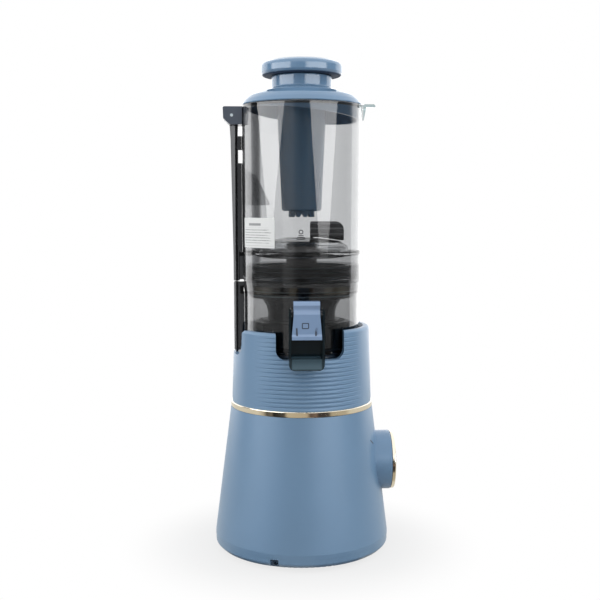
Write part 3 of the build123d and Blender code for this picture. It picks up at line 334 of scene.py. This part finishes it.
chrome = metal("chrome", srgb(214, 207, 191), 0.10, spread=0.05)
steel = metal("steel", srgb(196, 197, 200), 0.26, DRAWN)
motor_steel = metal("motor_steel", srgb(150, 152, 156), 0.42)
dark_steel = metal("dark_steel", srgb(70, 72, 76), 0.3, DRAWN)
bronze = metal("bronze", srgb(176, 140, 88), 0.45)

# %% [markdown]
# ## Soft black parts
#
# The feet and the bushing are rubber, the lip seals and the plug silicone. Both are rough: dust sits in
# the pores of rubber and makes it paler in specks, and silicone is smoother. One fine noise
# gives the specks, the gloss and the relief together, because on the real thing they have one cause.

# %% Rubber and silicone
def soft(name, colour, roughness, grain):
    """Rubber or silicone: rough, with a fine dusty grain."""
    paint = new_paint(name)
    dust = paint.noise(300.0, 4.0)
    return paint.finish(Base_Color=paint.mix(dust, colour, shade(colour, 1.5, 0.004)),
                        Roughness=roughness + (dust - 0.5) * 0.2, Normal=paint.bump(dust, 0.3, grain))


rubber = soft("rubber", srgb(34, 34, 35), 0.78, 0.05 * MM)
blue_rubber = soft("blue_rubber", srgb(50, 66, 84), 0.6, 0.05 * MM)
silicone = soft("silicone", srgb(52, 58, 64), 0.5, 0.02 * MM)

# %% [markdown]
# ## Smoky clear plastic
#
# Bowl and hopper are clear copolyester with a grey tint. The CAD solids have true wall thickness, so real
# refraction works: light bends in the walls, the sides of the tube turn dark and the front stays
# clear. The tint goes into the base colour of a fully transmissive Principled shader, which colours
# each crossing of a wall. An absorbing volume would be the other way, but a wall of 2 mm hardly fills
# one. Faint flow lines vary the tint, and tiny scuffs the roughness.

# %% Clear plastic
FLOW_SCALE, FLOW_STRETCH = 35.0, (1.0, 1.0, 0.25)
SCUFF_SCALE, SCUFF_ROUGHNESS = 420.0, 0.015


def clear(name, tint, roughness=0.02, regions=()):
    """Transparent moulded plastic, coloured a little at each surface; regions are pairs of mask and tint."""
    paint = new_paint(name)
    tone = paint.mix(paint.noise(FLOW_SCALE, 3.0, FLOW_STRETCH), tint, shade(tint, 0.95))
    for mask, region_tint in regions:
        tone = paint.mix(mask(paint), tone, region_tint)
    scuff = paint.soften(paint.noise(SCUFF_SCALE, 4.0), 0.58, 0.75)
    return paint.finish(Base_Color=tone, Roughness=roughness + scuff * SCUFF_ROUGHNESS, IOR=1.45,
                        Transmission_Weight=1.0)


bowl_clear = clear("bowl_clear", srgb(190, 191, 192))

# %% [markdown]
# ## Regions of the hopper
#
# The hopper isn't equally dark all round. Next to the safety rods its wall is darkened in two upright strips
# of painted shade, its domed floor and the throat below are darker, and the thick ear looks teal. Three
# materials on one solid would meet in hard lines, so one material carries soft masks, each read from
# the angle, the height or the distance from the axis.

# %% Masks of the hopper
EAR_START, EAR_FULL = 57.2 * MM, 58.5 * MM
FRONT_STRIP, FRONT_STRIP_FADES = (134, 138), (145, 150)
ROD_STRIP = (158, 166)
THROAT_TOP, FLOOR_TOP = 272.5 * MM, 280.5 * MM


def ear_mask(paint):
    """The ear stands out of the wall; it is moulded thick, so it looks tealer."""
    across, away = paint.axis("X"), paint.axis("Y")
    radius = paint.math("SQRT", across * across + away * away)
    return paint.soften(radius, EAR_START, EAR_FULL)


def shade_strips_and_floor(paint):
    """Two upright strips of painted shade beside the safety rods, the throat, the floor and the line at the
    floor's start.
    """
    angle, height = paint.math("ABSOLUTE", paint.bearing()), paint.axis("Z")

    def past(degrees, start=0.0, end=1.0):
        return paint.soften(angle, math.radians(degrees[0]), math.radians(degrees[1]), start, end)

    # The two upright strips beside the rods are painted shade.
    at_rods = past(ROD_STRIP) * 0.6
    in_front = past(FRONT_STRIP) * past(FRONT_STRIP_FADES, 0.8, 0.35)
    throat = paint.soften(height, THROAT_TOP - 2.5 * MM, THROAT_TOP, 0.9, 0.0)
    floor_shade = paint.soften(height, FLOOR_TOP - 1.0 * MM, FLOOR_TOP, 0.36, 0.0)
    from_line = paint.math("ABSOLUTE", height - FLOOR_TOP)
    floor_line = paint.soften(from_line, 0.6 * MM, 1.4 * MM, 0.9, 0.0)
    return paint.largest(at_rods, in_front, throat, floor_shade, floor_line)


# The grey region tint paints the shade of the strips beside the rods, and it also darkens the floor and the
# throat.
hopper_clear = clear("hopper_clear", srgb(225, 226, 227),
                     regions=[(shade_strips_and_floor, srgb(135, 136, 138)), (ear_mask, srgb(176, 192, 194))])

# %% Rod guides
WEB_START, WEB_FULL = -61.2 * MM, -60.0 * MM


def rail_web(paint):
    """The web between the guide's outer strip and the wall is nearly black."""
    return paint.soften(paint.axis("X"), WEB_START, WEB_FULL)


rail_clear = clear("rail_clear", srgb(120, 121, 123), 0.05, [(rail_web, srgb(52, 53, 55))])

# %% [markdown]
# ## The dark spout
#
# Juice spout and pulp chute are moulded so thick and dark that they look almost black with a teal cast.
# The front face of the spout's lip catches the light, and its light is painted on as a paler colour. A
# clear shader this dark would lose its gloss, so the shader is mostly opaque, and masks from width and
# height paint the lit lip.

# %% Dark clear plastic
LIP_TOP = 195.5 * MM
LIP_EDGE, LIP_SIDE = 12.2 * MM, 13.4 * MM
LIP_FOOT, LIP_RISE, LIP_PALEST = 184.5 * MM, 186.2 * MM, 194.0 * MM


def dark_outlet():
    """Nearly black plastic with a teal cast, with painted light on the front face of the lip."""
    paint = new_paint("smoke_dark")
    height, aside = paint.axis("Z"), paint.math("ABSOLUTE", paint.axis("X"))
    flow = paint.noise(FLOW_SCALE, 3.0, FLOW_STRETCH)
    below = paint.soften(height, LIP_TOP - 2 * MM, LIP_TOP, 1.0, 0.0)
    # The paler lip is painted light: the lit front face of the spout's lip, brightest near its foot.
    lit_face = paint.soften(aside, LIP_EDGE, LIP_SIDE, 1.0, 0.25)
    lit_face = lit_face * paint.soften(height, LIP_FOOT, LIP_RISE, 0.3, 1.0)
    deep = paint.mix(flow, srgb(16, 30, 37), srgb(22, 38, 44))
    up_the_lit_face = paint.soften(height, LIP_RISE, LIP_PALEST)
    lit_face_colour = paint.mix(up_the_lit_face, srgb(92, 116, 129), srgb(66, 88, 100))
    return paint.finish(Base_Color=paint.mix(below * lit_face, deep, lit_face_colour), Roughness=0.08 + flow * 0.05,
                        IOR=1.5, Transmission_Weight=0.35)


smoke_dark = dark_outlet()

# %% [markdown]
# ## Circuit board
#
# The board is green solder mask over glass fibre. The parts on it belong to the same CAD solid, so they
# take their colour from how far they stand out from the board. The weave of the glass shows as a very
# fine drift of the green.

# %% Circuit board
BOARD_FACE = 48.9 * MM


def circuit_board():
    """Green board, grey where something stands out of its face."""
    paint = new_paint("board")
    weave = paint.noise(900.0)
    green = paint.mix(weave, srgb(26, 84, 52), srgb(36, 104, 66))
    mounted = paint.mix(weave, srgb(70, 72, 76), srgb(96, 98, 102))
    return paint.finish(Base_Color=paint.mix(paint.axis("Y") > BOARD_FACE, green, mounted), Roughness=0.45)


board = circuit_board()

# %% [markdown]
# ## Giving each part its finish
#
# Each CAD part has one material slot from the record. The table pairs a finish with the parts that wear
# it, so that a change of finish is one line, and a check at the end tells whether a part was forgotten.

# %% Dress the parts
wardrobe = [
    (blue_plastic, ["base_housing", "upper_housing", "bottom_cover", "dial_cap"]),
    (blue_gloss, ["lid"]),
    (cap_blue_shaded_under, ["pusher_cap"]),
    (pale_blue, ["juice_cap"]),
    (chrome, ["chrome_band", "dial_ring"]),
    (dark_plastic, ["rotary_switch", "microswitch"]),
    (grey_plastic, ["gearbox"]),
    (slate_plastic, ["interlock_head"]),
    (navy_plastic, ["pusher_body", "pusher_teeth"]),
    (ribbed_plastic, ["strainer_collar"]),
    (mesh_plastic, ["strainer"]),
    (auger_plastic, ["auger_screw", "auger_head"]),
    (hopper_clear, ["hopper"]),
    (bowl_clear, ["juicing_bowl"]),
    (smoke_dark, ["juice_spout", "pulp_chute"]),
    (rail_clear, ["lower_rod_guide", "upper_rod_guide"]),
    (rubber, ["feet"]),
    (blue_rubber, ["cord_bushing"]),
    (silicone, ["shaft_seal", "bowl_seal", "cap_plug", "lid_seal"]),
    (steel, ["base_screws", "housing_screws", "gearbox_screws", "drive_shaft", "dial_spindle"]),
    (dark_steel, ["lower_rod", "upper_rod", "cap_hinge_pin"]),
    (motor_steel, ["motor"]),
    (bronze, ["shaft_bearing"]),
    (board, ["control_board"]),
]
for finish, names in wardrobe:
    for name in names:
        parts[name].data.materials.clear()
        parts[name].data.materials.append(finish)
dressed = {name for _, names in wardrobe for name in names}
print("parts dressed", len(dressed), "without a finish", sorted(set(parts) - dressed))

# %% [markdown]
# ## Thin things on the surface
#
# A sticker, a printed mark or a moulded tick is a flat outline that follows the surface under it. Each one
# starts as a small flat shape, the sticker and the ticks are finely cut, and every corner is then dropped on
# the CAD part with a ray, the way a sheet settles on what is below. A Shrinkwrap modifier would do it too;
# the ray leaves no modifier behind and tells which corners found nothing. A little thickness keeps the
# sheet from flickering.

# %% Flat shapes
def bar(mesh, width, height, centre=(0.0, 0.0), turn=0.0):
    """A rectangle in the drawing plane."""
    place = Matrix.Translation((centre[0], centre[1], 0.0)) @ Matrix.Rotation(turn, 4, "Z")
    shape = bmesh.ops.create_grid(mesh, x_segments=1, y_segments=1, size=0.5)
    bmesh.ops.scale(mesh, vec=(width, height, 1.0), verts=shape["verts"])
    bmesh.ops.transform(mesh, matrix=place, verts=shape["verts"])


def disc(mesh, radius, centre=(0.0, 0.0), sides=24):
    """A filled circle in the drawing plane."""
    place = Matrix.Translation((centre[0], centre[1], 0.0))
    bmesh.ops.create_circle(mesh, cap_ends=True, segments=sides, radius=radius, matrix=place)


def border_only(mesh, width):
    """Leaves only the border of each face: the strip that an inset makes, when the middle goes."""
    middles = mesh.faces[:]
    bmesh.ops.inset_individual(mesh, faces=middles, thickness=width, use_even_offset=True)
    bmesh.ops.delete(mesh, geom=middles, context="FACES_ONLY")


def round_off(mesh, corners, radius, segments, affect="VERTICES"):
    """Rounds the given corners of a flat shape, or the given edges of a block."""
    bmesh.ops.bevel(mesh, geom=corners, offset=radius, segments=segments, profile=0.5, affect=affect,
                    material=-1)


# %% Drawing frames
WALL_FRONT = 90.0
FAR = 130.0


def facing(origin, outward, up=(0.0, 0.0, 1.0)):
    """Matrix of a drawing whose face looks outward and whose upright runs along up; origin in millimetres."""
    normal = Vector(outward).normalized()
    side = Vector(up).cross(normal).normalized()
    rows = Matrix((side, normal.cross(side), normal)).transposed().to_4x4()
    return Matrix.Translation(Vector(origin) * MM) @ rows


def round_wall(degrees, height):
    """Drawing frame in front of an upright round wall; 0 degrees is towards the dial."""
    outward = (math.cos(math.radians(degrees)), math.sin(math.radians(degrees)), 0.0)
    return facing((outward[0] * WALL_FRONT, outward[1] * WALL_FRONT, height), outward)


# %% Settling on a part
SHEET_LIFT = 0.05 * MM
SHEET_THICK = 0.12 * MM


def drape(mesh, node, frame_matrix):
    """Puts a drawing in space, looks from each corner along the drawing's back and stops at the part."""
    bmesh.ops.transform(mesh, matrix=frame_matrix, verts=mesh.verts)
    back = -(frame_matrix.to_3x3() @ Vector((0.0, 0.0, 1.0)))
    missed = 0
    for vert in mesh.verts:
        found, spot, _, _ = parts[node].ray_cast(vert.co, back)
        missed += not found
        if found:
            vert.co = spot - back * SHEET_LIFT
    print("drape on", node, "corners", len(mesh.verts), "missed", missed)


def add_piece(name, mesh, finish, body, thickness=SHEET_THICK):
    """An object made of a mesh; it rides on a body and gets a little thickness where it is a sheet."""
    if thickness:
        bmesh.ops.solidify(mesh, geom=mesh.faces[:], thickness=thickness)
    bmesh.ops.recalc_face_normals(mesh, faces=mesh.faces[:])
    data = bpy.data.meshes.new(name)
    mesh.to_mesh(data)
    mesh.free()
    data.materials.append(finish)
    piece = bpy.data.objects.new(name, data)
    bpy.context.scene.collection.objects.link(piece)
    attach(piece, body)
    print("piece", name, "faces", len(data.polygons), "rides on", body)


# %% [markdown]
# ## Ink
#
# The marks are pad-printed: a soft pad lays a film of ink that is thin, satin and a little uneven. The same
# recipe in a very dark blue stands for the bottom of a narrow groove, where no light reaches, so that a
# groove needs no cut in the CAD part.

# %% Ink
def printed(name, colour):
    """Pad-printed ink: thin, satin, a little uneven."""
    paint = new_paint(name)
    wear = paint.noise(900.0, 3.0)
    return paint.finish(Base_Color=paint.mix(wear, colour, shade(colour, 1.3)), Roughness=0.4 + wear * 0.2)


ink = printed("ink", srgb(48, 50, 54))
pale_print = printed("pale_print", srgb(176, 186, 190))
# Painted shade: a very dark ink that stands for the shade at the bottom of grooves and recesses.
painted_recess_shade = printed("painted_recess_shade", srgb(30, 38, 50))

# %% [markdown]
# ## The paper sticker
#
# The hopper carries a white paper sticker. It is blank: ruled lines and a plain bar stand where
# writing would be. Ink has no height, so the material draws the lines, from height and angle on the
# wall. Their right ends are ragged and their strokes broken, the way small print looks from afar. The
# sheet itself has rounded corners and enough columns to bend round the wall.

# %% Ruled paper
RULE_PITCH, RULE_SHARE = 2.35 * MM, 0.3
RULED_HEIGHTS, RULED_LEFT, RULED_RIGHT = (291.6 * MM, 305.6 * MM), -160.5, -116.0
RAGGED_END = 16.0
HEADING_HEIGHTS, HEADING_ANGLES = (307.4 * MM, 309.6 * MM), (-152.0, -134.0)
FOOT_LINE = (289.0 * MM, 289.4 * MM)


def ruled_paper():
    """White paper with ruled grey lines, a plain bar above them and a thin line below."""
    paint = new_paint("ruled_paper")
    height, angle = paint.axis("Z"), paint.bearing() * (180 / math.pi)

    def between(value, limits):
        return (value > limits[0]) * (value < limits[1])

    step = paint.math("FRACT", height * (1 / RULE_PITCH))
    ragged = paint.node("ShaderNodeTexNoise", {"noise_dimensions": "1D"}, {"W": height * 700.0, "Scale": 1.0})
    broken = paint.soften(paint.noise(1300.0, 1.0), 0.42, 0.5)
    across = (angle > RULED_LEFT) * (angle < RULED_RIGHT - ragged * RAGGED_END)
    rules = (step < RULE_SHARE) * between(height, RULED_HEIGHTS) * across * (broken * 0.6 + 0.3)
    heading = between(height, HEADING_HEIGHTS) * between(angle, HEADING_ANGLES)
    marks = paint.math("MINIMUM", rules + heading * 0.8 + between(height, FOOT_LINE) * 0.4, 1.0)
    fibre = paint.noise(2600.0, 3.0)
    blank = paint.mix(fibre, srgb(206, 208, 208), srgb(222, 224, 224))
    return paint.finish(Base_Color=paint.mix(marks, blank, srgb(112, 114, 118)), Roughness=0.5 + fibre * 0.1,
                        Normal=paint.bump(fibre, 0.1, 0.03 * MM))


paper = ruled_paper()

# %% Sticker on the hopper
STICKER_WIDTH, STICKER_HEIGHT, STICKER_CORNER = 42.4 * MM, 27.2 * MM, 0.9 * MM
STICKER_PLACE = (-140.7, 300.9)

sheet = bmesh.new()
bmesh.ops.create_grid(sheet, x_segments=32, y_segments=2, size=0.5)
bmesh.ops.scale(sheet, vec=(STICKER_WIDTH, STICKER_HEIGHT, 1.0), verts=sheet.verts)
round_off(sheet, [vert for vert in sheet.verts if len(vert.link_edges) == 2], STICKER_CORNER, 4)
drape(sheet, "hopper", round_wall(*STICKER_PLACE))
add_piece("hopper_sticker", sheet, paper, "hopper")

# %% [markdown]
# ## Printed marks and the dial
#
# Beside the sticker the hopper has a small neutral mark, a ring over three bars. The housing has three
# ticks round the dial, for reverse, off and forward, and the dial's cap a raised pointer, which is a
# little thicker than ink. A pale dot sits on the head of the interlock. Each stroke is a bar or a disc
# with real outlines, because a drawn texture would blur at this size.

# %% Mark on the hopper
STROKE = 0.8 * MM
MARK_PLACE = (-93.3, 300.2)
RING_RADIUS, RING_ABOVE = 2.1 * MM, 1.8 * MM
MARK_BARS = ((4.6, -1.4), (7.0, -3.0), (7.8, -4.6))

mark = bmesh.new()
disc(mark, RING_RADIUS, (0.0, RING_ABOVE), sides=28)
border_only(mark, STROKE)
for width, height in MARK_BARS:
    bar(mark, width * MM, STROKE, (0.0, height * MM))
drape(mark, "hopper", round_wall(*MARK_PLACE))
add_piece("hopper_mark", mark, ink, "hopper")

# %% Ticks, pointer and dot
DIAL_HEIGHT = 81.1
TICK_WIDTH = 1.1 * MM
POINTER_WIDTH, POINTER_LENGTH, POINTER_OUT = 1.8 * MM, 7.0 * MM, 14.5 * MM
DOT_RADIUS, DOT_PLACE = 1.4 * MM, (-65.1, -60.0, 408.6)
TOWARDS_DIAL, TOWARDS_SPOUT = (1.0, 0.0, 0.0), (0.0, -1.0, 0.0)
TICKS = (("dial_tick_left", -30.0, 105.2, 8.0), ("dial_tick_top", 0.0, 117.5, 4.0),
         ("dial_tick_right", 30.0, 105.2, 8.0))

for name, aside, height, length in TICKS:
    tick = bmesh.new()
    bar(tick, TICK_WIDTH, length * MM, turn=-math.atan2(aside, height - DIAL_HEIGHT))
    bmesh.ops.subdivide_edges(tick, edges=tick.edges[:], cuts=3, use_grid_fill=True)
    drape(tick, "base_housing", facing((FAR, aside, height), TOWARDS_DIAL))
    add_piece(name, tick, ink, "base")

pointer = bmesh.new()
bar(pointer, POINTER_WIDTH, POINTER_LENGTH, (0.0, POINTER_OUT))
drape(pointer, "dial_cap", facing((FAR, 0.0, DIAL_HEIGHT), TOWARDS_DIAL))
add_piece("dial_pointer", pointer, pale_print, "dial", thickness=0.4 * MM)

dot = bmesh.new()
disc(dot, DOT_RADIUS)
drape(dot, "interlock_head", facing(DOT_PLACE, TOWARDS_SPOUT))
add_piece("interlock_dot", dot, pale_print, "hopper")

# %% [markdown]
# ## Bridges between the rod guides and the walls
#
# Short blocks tie each rod guide to the wall behind it and close the slit between the two. They are
# solid and not sheets, so each one is a scaled cube with its edges rounded, and it wears the guide's
# smoky plastic. The upper one lifts off with the hopper, the lower one with the bowl.

# %% Bridges
BRIDGE_DEPTH, BRIDGE_WIDTH, BRIDGE_MIDDLE = 4.2 * MM, 3.4 * MM, -56.9 * MM
BRIDGES = (("guide_bridge", "hopper", 26.0, 269.3), ("bowl_bridge", "bowl", 12.0, 248.4))

for name, body, length, height in BRIDGES:
    bridge = bmesh.new()
    bmesh.ops.create_cube(bridge, size=1.0)
    bmesh.ops.scale(bridge, vec=(BRIDGE_DEPTH, BRIDGE_WIDTH, length * MM), verts=bridge.verts)
    bmesh.ops.translate(bridge, vec=(BRIDGE_MIDDLE, 0.0, height * MM), verts=bridge.verts)
    round_off(bridge, bridge.edges[:], 0.5 * MM, 2, affect="EDGES")
    add_piece(name, bridge, rail_clear, body, thickness=0.0)

# %% [markdown]
# ## Grooves and recesses
#
# The juice cap has two upright grooves and a small empty square, and each screw under the base has a
# cross recess. All are about a millimetre wide, so the shade in them is painted on as dark sheets rather
# than cut. The square is a rounded bar of which only the border stays.

# %% Marks of the juice cap
GROOVES = (("cap_slot_left", -8.6, 0.06), ("cap_slot_right", 7.8, -0.06))
GROOVE_WIDTH, GROOVE_LENGTH, GROOVE_HEIGHT = 1.2 * MM, 6.6 * MM, 217.6
SQUARE_WIDTH, SQUARE_HEIGHT, SQUARE_CORNER = 6.2 * MM, 5.2 * MM, 0.9 * MM
SQUARE_PLACE = (-1.3, -FAR, 222.9)

for name, aside, turn in GROOVES:
    groove = bmesh.new()
    bar(groove, GROOVE_WIDTH, GROOVE_LENGTH, turn=turn)
    drape(groove, "juice_cap", facing((aside, -FAR, GROOVE_HEIGHT), TOWARDS_SPOUT))
    add_piece(name, groove, painted_recess_shade, "juice_cap")

badge = bmesh.new()
bar(badge, SQUARE_WIDTH, SQUARE_HEIGHT)
round_off(badge, badge.verts[:], SQUARE_CORNER, 3)
border_only(badge, STROKE)
drape(badge, "juice_cap", facing(SQUARE_PLACE, TOWARDS_SPOUT))
add_piece("cap_square", badge, painted_recess_shade, "juice_cap")

# %% Screw recesses
SCREW_COUNT, SCREW_CIRCLE = 4, 71.0
RECESS_LENGTH = 3.4 * MM
BELOW_BASE = -20.0

for index in range(SCREW_COUNT):
    turn = 2 * math.pi * index / SCREW_COUNT
    cross = bmesh.new()
    bar(cross, RECESS_LENGTH, STROKE)
    bar(cross, STROKE, RECESS_LENGTH)
    under_screw = (SCREW_CIRCLE * math.cos(turn), SCREW_CIRCLE * math.sin(turn), BELOW_BASE)
    drape(cross, "base_screws", facing(under_screw, (0.0, 0.0, -1.0), up=(0.0, 1.0, 0.0)))
    add_piece("screw_recess_%d" % index, cross, painted_recess_shade, "base")

# %% [markdown]
# ## The studio that gloss and clear walls show
#
# Bright bands and dark edges on glossy plastic are pictures of the room. A product studio has tall soft
# boxes left and right in front, darkness round the camera, black flags at the sides and white paper
# behind. Real lamps that large would also flood the object with light, so the room is only an image for
# mirror rays: a colour ramp gives its brightness for each compass direction, counted in degrees from
# the camera's side, and a second ramp gives the table top, which low bright trim reflects.

# %% The room by compass direction
# Pairs of degrees and brightness, and pairs of degrees and colour.
ROOM = [(-180, 2.3), (-113, 2.3), (-110, 0.08), (-91, 0.08), (-88, 0.3), (-38, 0.25), (-34, 0.8), (-18, 0.6),
        (-10, 0.15), (69, 0.12), (109, 0.12), (113, 2.3), (180, 2.3)]
TABLE_TOP = [(-180, (0.95, 0.93, 0.88)), (-70, (0.95, 0.9, 0.78)), (-60, (0.6, 0.55, 0.46)),
             (-55, (0.12, 0.11, 0.1)), (-46, (0.25, 0.22, 0.18)), (-44, (0.02, 0.02, 0.02)),
             (-26, (0.1, 0.09, 0.08)), (-22, (0.75, 0.66, 0.5)), (8, (0.7, 0.6, 0.46)),
             (13, (0.14, 0.1, 0.09)), (22, (0.3, 0.22, 0.18)), (26, (0.06, 0.05, 0.05)),
             (42, (0.1, 0.09, 0.08)), (47, (0.62, 0.55, 0.42)), (72, (0.66, 0.6, 0.48)),
             (80, (0.95, 0.9, 0.78)), (180, (0.95, 0.93, 0.88))]
CAMERA_TURN = 2.65


def compass_ramp(paint, turn, stops):
    """Colour ramp over the compass; stops are pairs of degrees and colour."""
    places = [((degrees + 180) / 360, colour + (1.0,)) for degrees, colour in stops]
    return paint.node("ShaderNodeValToRGB", {"stops": places}, {0: turn})


def compass(paint, direction):
    """Share 0..1 of the turn from -180 to 180 degrees, counted from the camera's side of the object."""
    angle = paint.math("ARCTAN2", paint.axis("X", direction), 0.0 - paint.axis("Y", direction))
    return angle * (0.5 / math.pi) + (0.5 + CAMERA_TURN / 360)


# %% Soft boxes in the room
# Each box: its middle in degrees, how far below level its tip is, and how fast it widens from there.
BOXES = [(-62.0, 0.05, 200.0), (43.0, 0.12, 126.0)]
BOX_GLOW = 6.0
BOX_WIDEST = 31.0
BOX_EDGE = 0.8
GLOW_FLOOR = -0.075


def room_light(paint, direction, height):
    """Brightness of the room in a direction: the ramp, and two soft boxes that narrow towards the floor."""
    turn = compass(paint, direction)
    light = compass_ramp(paint, turn, [(degrees, (value,) * 3) for degrees, value in ROOM])
    glow = paint.soften(height, GLOW_FLOOR, 0.0) * BOX_GLOW
    for centre, tip, spread in BOXES:
        half_width = paint.math("MINIMUM", (height + tip) * spread, BOX_WIDEST)
        aside = paint.math("ABSOLUTE", turn * 360 - (180 + centre))
        light = light + paint.soften(half_width - aside, -BOX_EDGE, BOX_EDGE) * glow
    return light


def ray_kinds(paint):
    """Masks of the three kinds of ray that see something else than the light does."""
    return [paint.node("ShaderNodeLightPath", output=name)
            for name in ("Is Camera Ray", "Is Glossy Ray", "Is Transmission Ray")]


# %% [markdown]
# ## Floor and background
#
# The juicer stands on a plain pale floor in front of a white background. The floor is a wide plate just
# under the feet. It is white to the camera, an ordinary pale surface to the light, so that it keeps
# the soft shadow of the base, and part of the room's image to mirror rays. Seen from below it lets
# every ray through, so that the underside can be looked at.

# %% Floor
FLOOR_HALF, FLOOR_LEVEL = 6.0, -0.2 * MM
SHADOW_SHARE = 0.22
SHADOW_NEAR, SHADOW_FAR = 0.08, 0.18
TABLE_REACH = 1.2
# A mirror ray comes down to the table from about this height, so its slope there is this over the distance.
MIRROR_DROP = -0.3


def pale_floor():
    """White to the camera, pale grey to light, a table in a room to mirror rays."""
    paint = new_paint("pale_floor")
    camera_ray, mirror_ray, through_ray = ray_kinds(paint)
    distance = paint.node("ShaderNodeVectorMath", {"operation": "LENGTH"}, {0: paint.place}, output="Value")
    diffuse = paint.node("ShaderNodeBsdfDiffuse", None, {"Color": (0.42, 0.42, 0.42, 1.0)})
    white = paint.node("ShaderNodeEmission", None, {"Color": (1.0, 1.0, 1.0, 1.0)})
    table = compass_ramp(paint, compass(paint, paint.place), TABLE_TOP)
    room = room_light(paint, paint.place, paint.math("DIVIDE", MIRROR_DROP, distance))
    far = paint.soften(distance, TABLE_REACH * 0.8, TABLE_REACH)
    mirrored = paint.node("ShaderNodeEmission", None, {"Color": paint.mix(far, table, room)})
    image = paint.mix_shaders(mirror_ray * (1.0 - through_ray), white, mirrored)
    plain = paint.soften(distance, SHADOW_NEAR, SHADOW_FAR, 1.0 - SHADOW_SHARE, 1.0)
    top = paint.mix_shaders(camera_ray * plain + mirror_ray + through_ray, diffuse, image)
    from_below = paint.node("ShaderNodeNewGeometry", output="Backfacing")
    surface = paint.mix_shaders(from_below, top, paint.node("ShaderNodeBsdfTransparent"))
    paint.node("ShaderNodeOutputMaterial", None, {"Surface": surface})
    return paint.owner


plate = bmesh.new()
bmesh.ops.create_grid(plate, x_segments=1, y_segments=1, size=FLOOR_HALF)
floor_mesh = bpy.data.meshes.new("floor")
plate.to_mesh(floor_mesh)
plate.free()
floor = bpy.data.objects.new("floor", floor_mesh)
floor.location.z = FLOOR_LEVEL
floor.data.materials.append(pale_floor())
bpy.context.scene.collection.objects.link(floor)

# %% [markdown]
# ## The world
#
# Each kind of ray asks the world for something else. The camera gets plain white, a mirror ray the room
# with its soft boxes and a bright ceiling, a ray through a clear wall the room without glare, and
# the light that falls on matt surfaces comes softly from the sides and from above. One Background shader
# does all of it, with a strength that is the sum of the masks times their brightness.

# %% World
ROUND_LIGHT, SIDE_LIGHT, TOP_LIGHT = 0.34, 0.55, 0.3
CEILING, CEILING_START, CEILING_FULL = 1.7, 0.18, 0.5


def studio_world():
    """White to the camera and through clear walls, a room to mirror rays, soft light to all else."""
    paint = Paint(bpy.data.worlds.new("studio"), "Generated")
    camera_ray, mirror_ray, through_ray = ray_kinds(paint)
    height, aside = paint.axis("Z"), paint.math("ABSOLUTE", paint.axis("X"))
    room = room_light(paint, paint.place, height)
    mirrored = room + (CEILING - room) * paint.soften(height, CEILING_START, CEILING_FULL)
    clear_view = paint.math("MINIMUM", room, 1.0)
    soft_light = aside * SIDE_LIGHT + paint.math("MAXIMUM", height, 0.0) * TOP_LIGHT + ROUND_LIGHT
    mirror_only = mirror_ray * (1.0 - through_ray)
    other = 1.0 - camera_ray - mirror_only - through_ray
    strength = camera_ray + mirrored * mirror_only + clear_view * through_ray + soft_light * other
    backdrop = paint.node("ShaderNodeBackground", None, {"Color": (1.0, 1.0, 1.0, 1.0), "Strength": strength})
    paint.node("ShaderNodeOutputWorld", None, {"Surface": backdrop})
    print("world nodes", len(paint.tree.nodes))
    return paint.owner


bpy.context.scene.world = studio_world()

# %% [markdown]
# ## Lamps and camera
#
# Four area lamps give the round parts their gentle shading: a weak one in front, one above, and a strong
# one at each side. Mirror rays don't see them, because the room's image already holds the soft boxes.
# The camera looks slightly down from the side of the spout, with a moderately long lens, which keeps
# the uprights nearly parallel.

# %% Lamps
# Each lamp: name, place, target, width, height and power.
LAMPS = (("front_fill", (0.05, -0.95, 0.42), (0, 0, 0.32), 0.5, 0.3, 2.2),
         ("top_box", (0.0, -0.35, 0.95), (0, 0, 0.4), 0.7, 0.5, 1.2),
         ("left_box", (-1.3, 0.15, 0.8), (0, 0, 0.25), 0.6, 0.9, 7.5),
         ("right_box", (1.3, 0.15, 0.8), (0, 0, 0.25), 0.6, 0.9, 7.5))

for name, place, target, width, height, power in LAMPS:
    lamp = bpy.data.lights.new(name, "AREA")
    lamp.shape = "RECTANGLE"
    lamp.size = width
    lamp.size_y = height
    lamp.energy = power
    holder = bpy.data.objects.new(name, lamp)
    holder.location = place
    holder.rotation_euler = (Vector(target) - Vector(place)).to_track_quat("-Z", "Y").to_euler()
    holder.visible_glossy = False
    holder.visible_transmission = False
    bpy.context.scene.collection.objects.link(holder)
print("lamps", len(LAMPS))

# %% Camera
TURN = math.radians(CAMERA_TURN)
DISTANCE = 917.5 * MM
SIDE_STEP = -1.48 * MM
EYE_HEIGHT = 320.9 * MM
LOOK_DOWN = 0.092
FOCAL_PIXELS, FRAME_PIXELS = 967.8, 600

camera_data = bpy.data.cameras.new("camera")
camera_data.sensor_width = 36.0
camera_data.lens = FOCAL_PIXELS / FRAME_PIXELS * camera_data.sensor_width
camera = bpy.data.objects.new("camera", camera_data)
camera.location = Matrix.Rotation(-TURN, 3, "Z") @ Vector((SIDE_STEP, -DISTANCE, EYE_HEIGHT))
camera.rotation_euler = (math.pi / 2 - LOOK_DOWN, 0.0, -TURN)
bpy.context.scene.collection.objects.link(camera)
bpy.context.scene.camera = camera
bpy.context.scene.view_settings.view_transform = "Standard"
print("lens", round(camera_data.lens, 2), "mm at", tuple(round(value, 3) for value in camera.location))
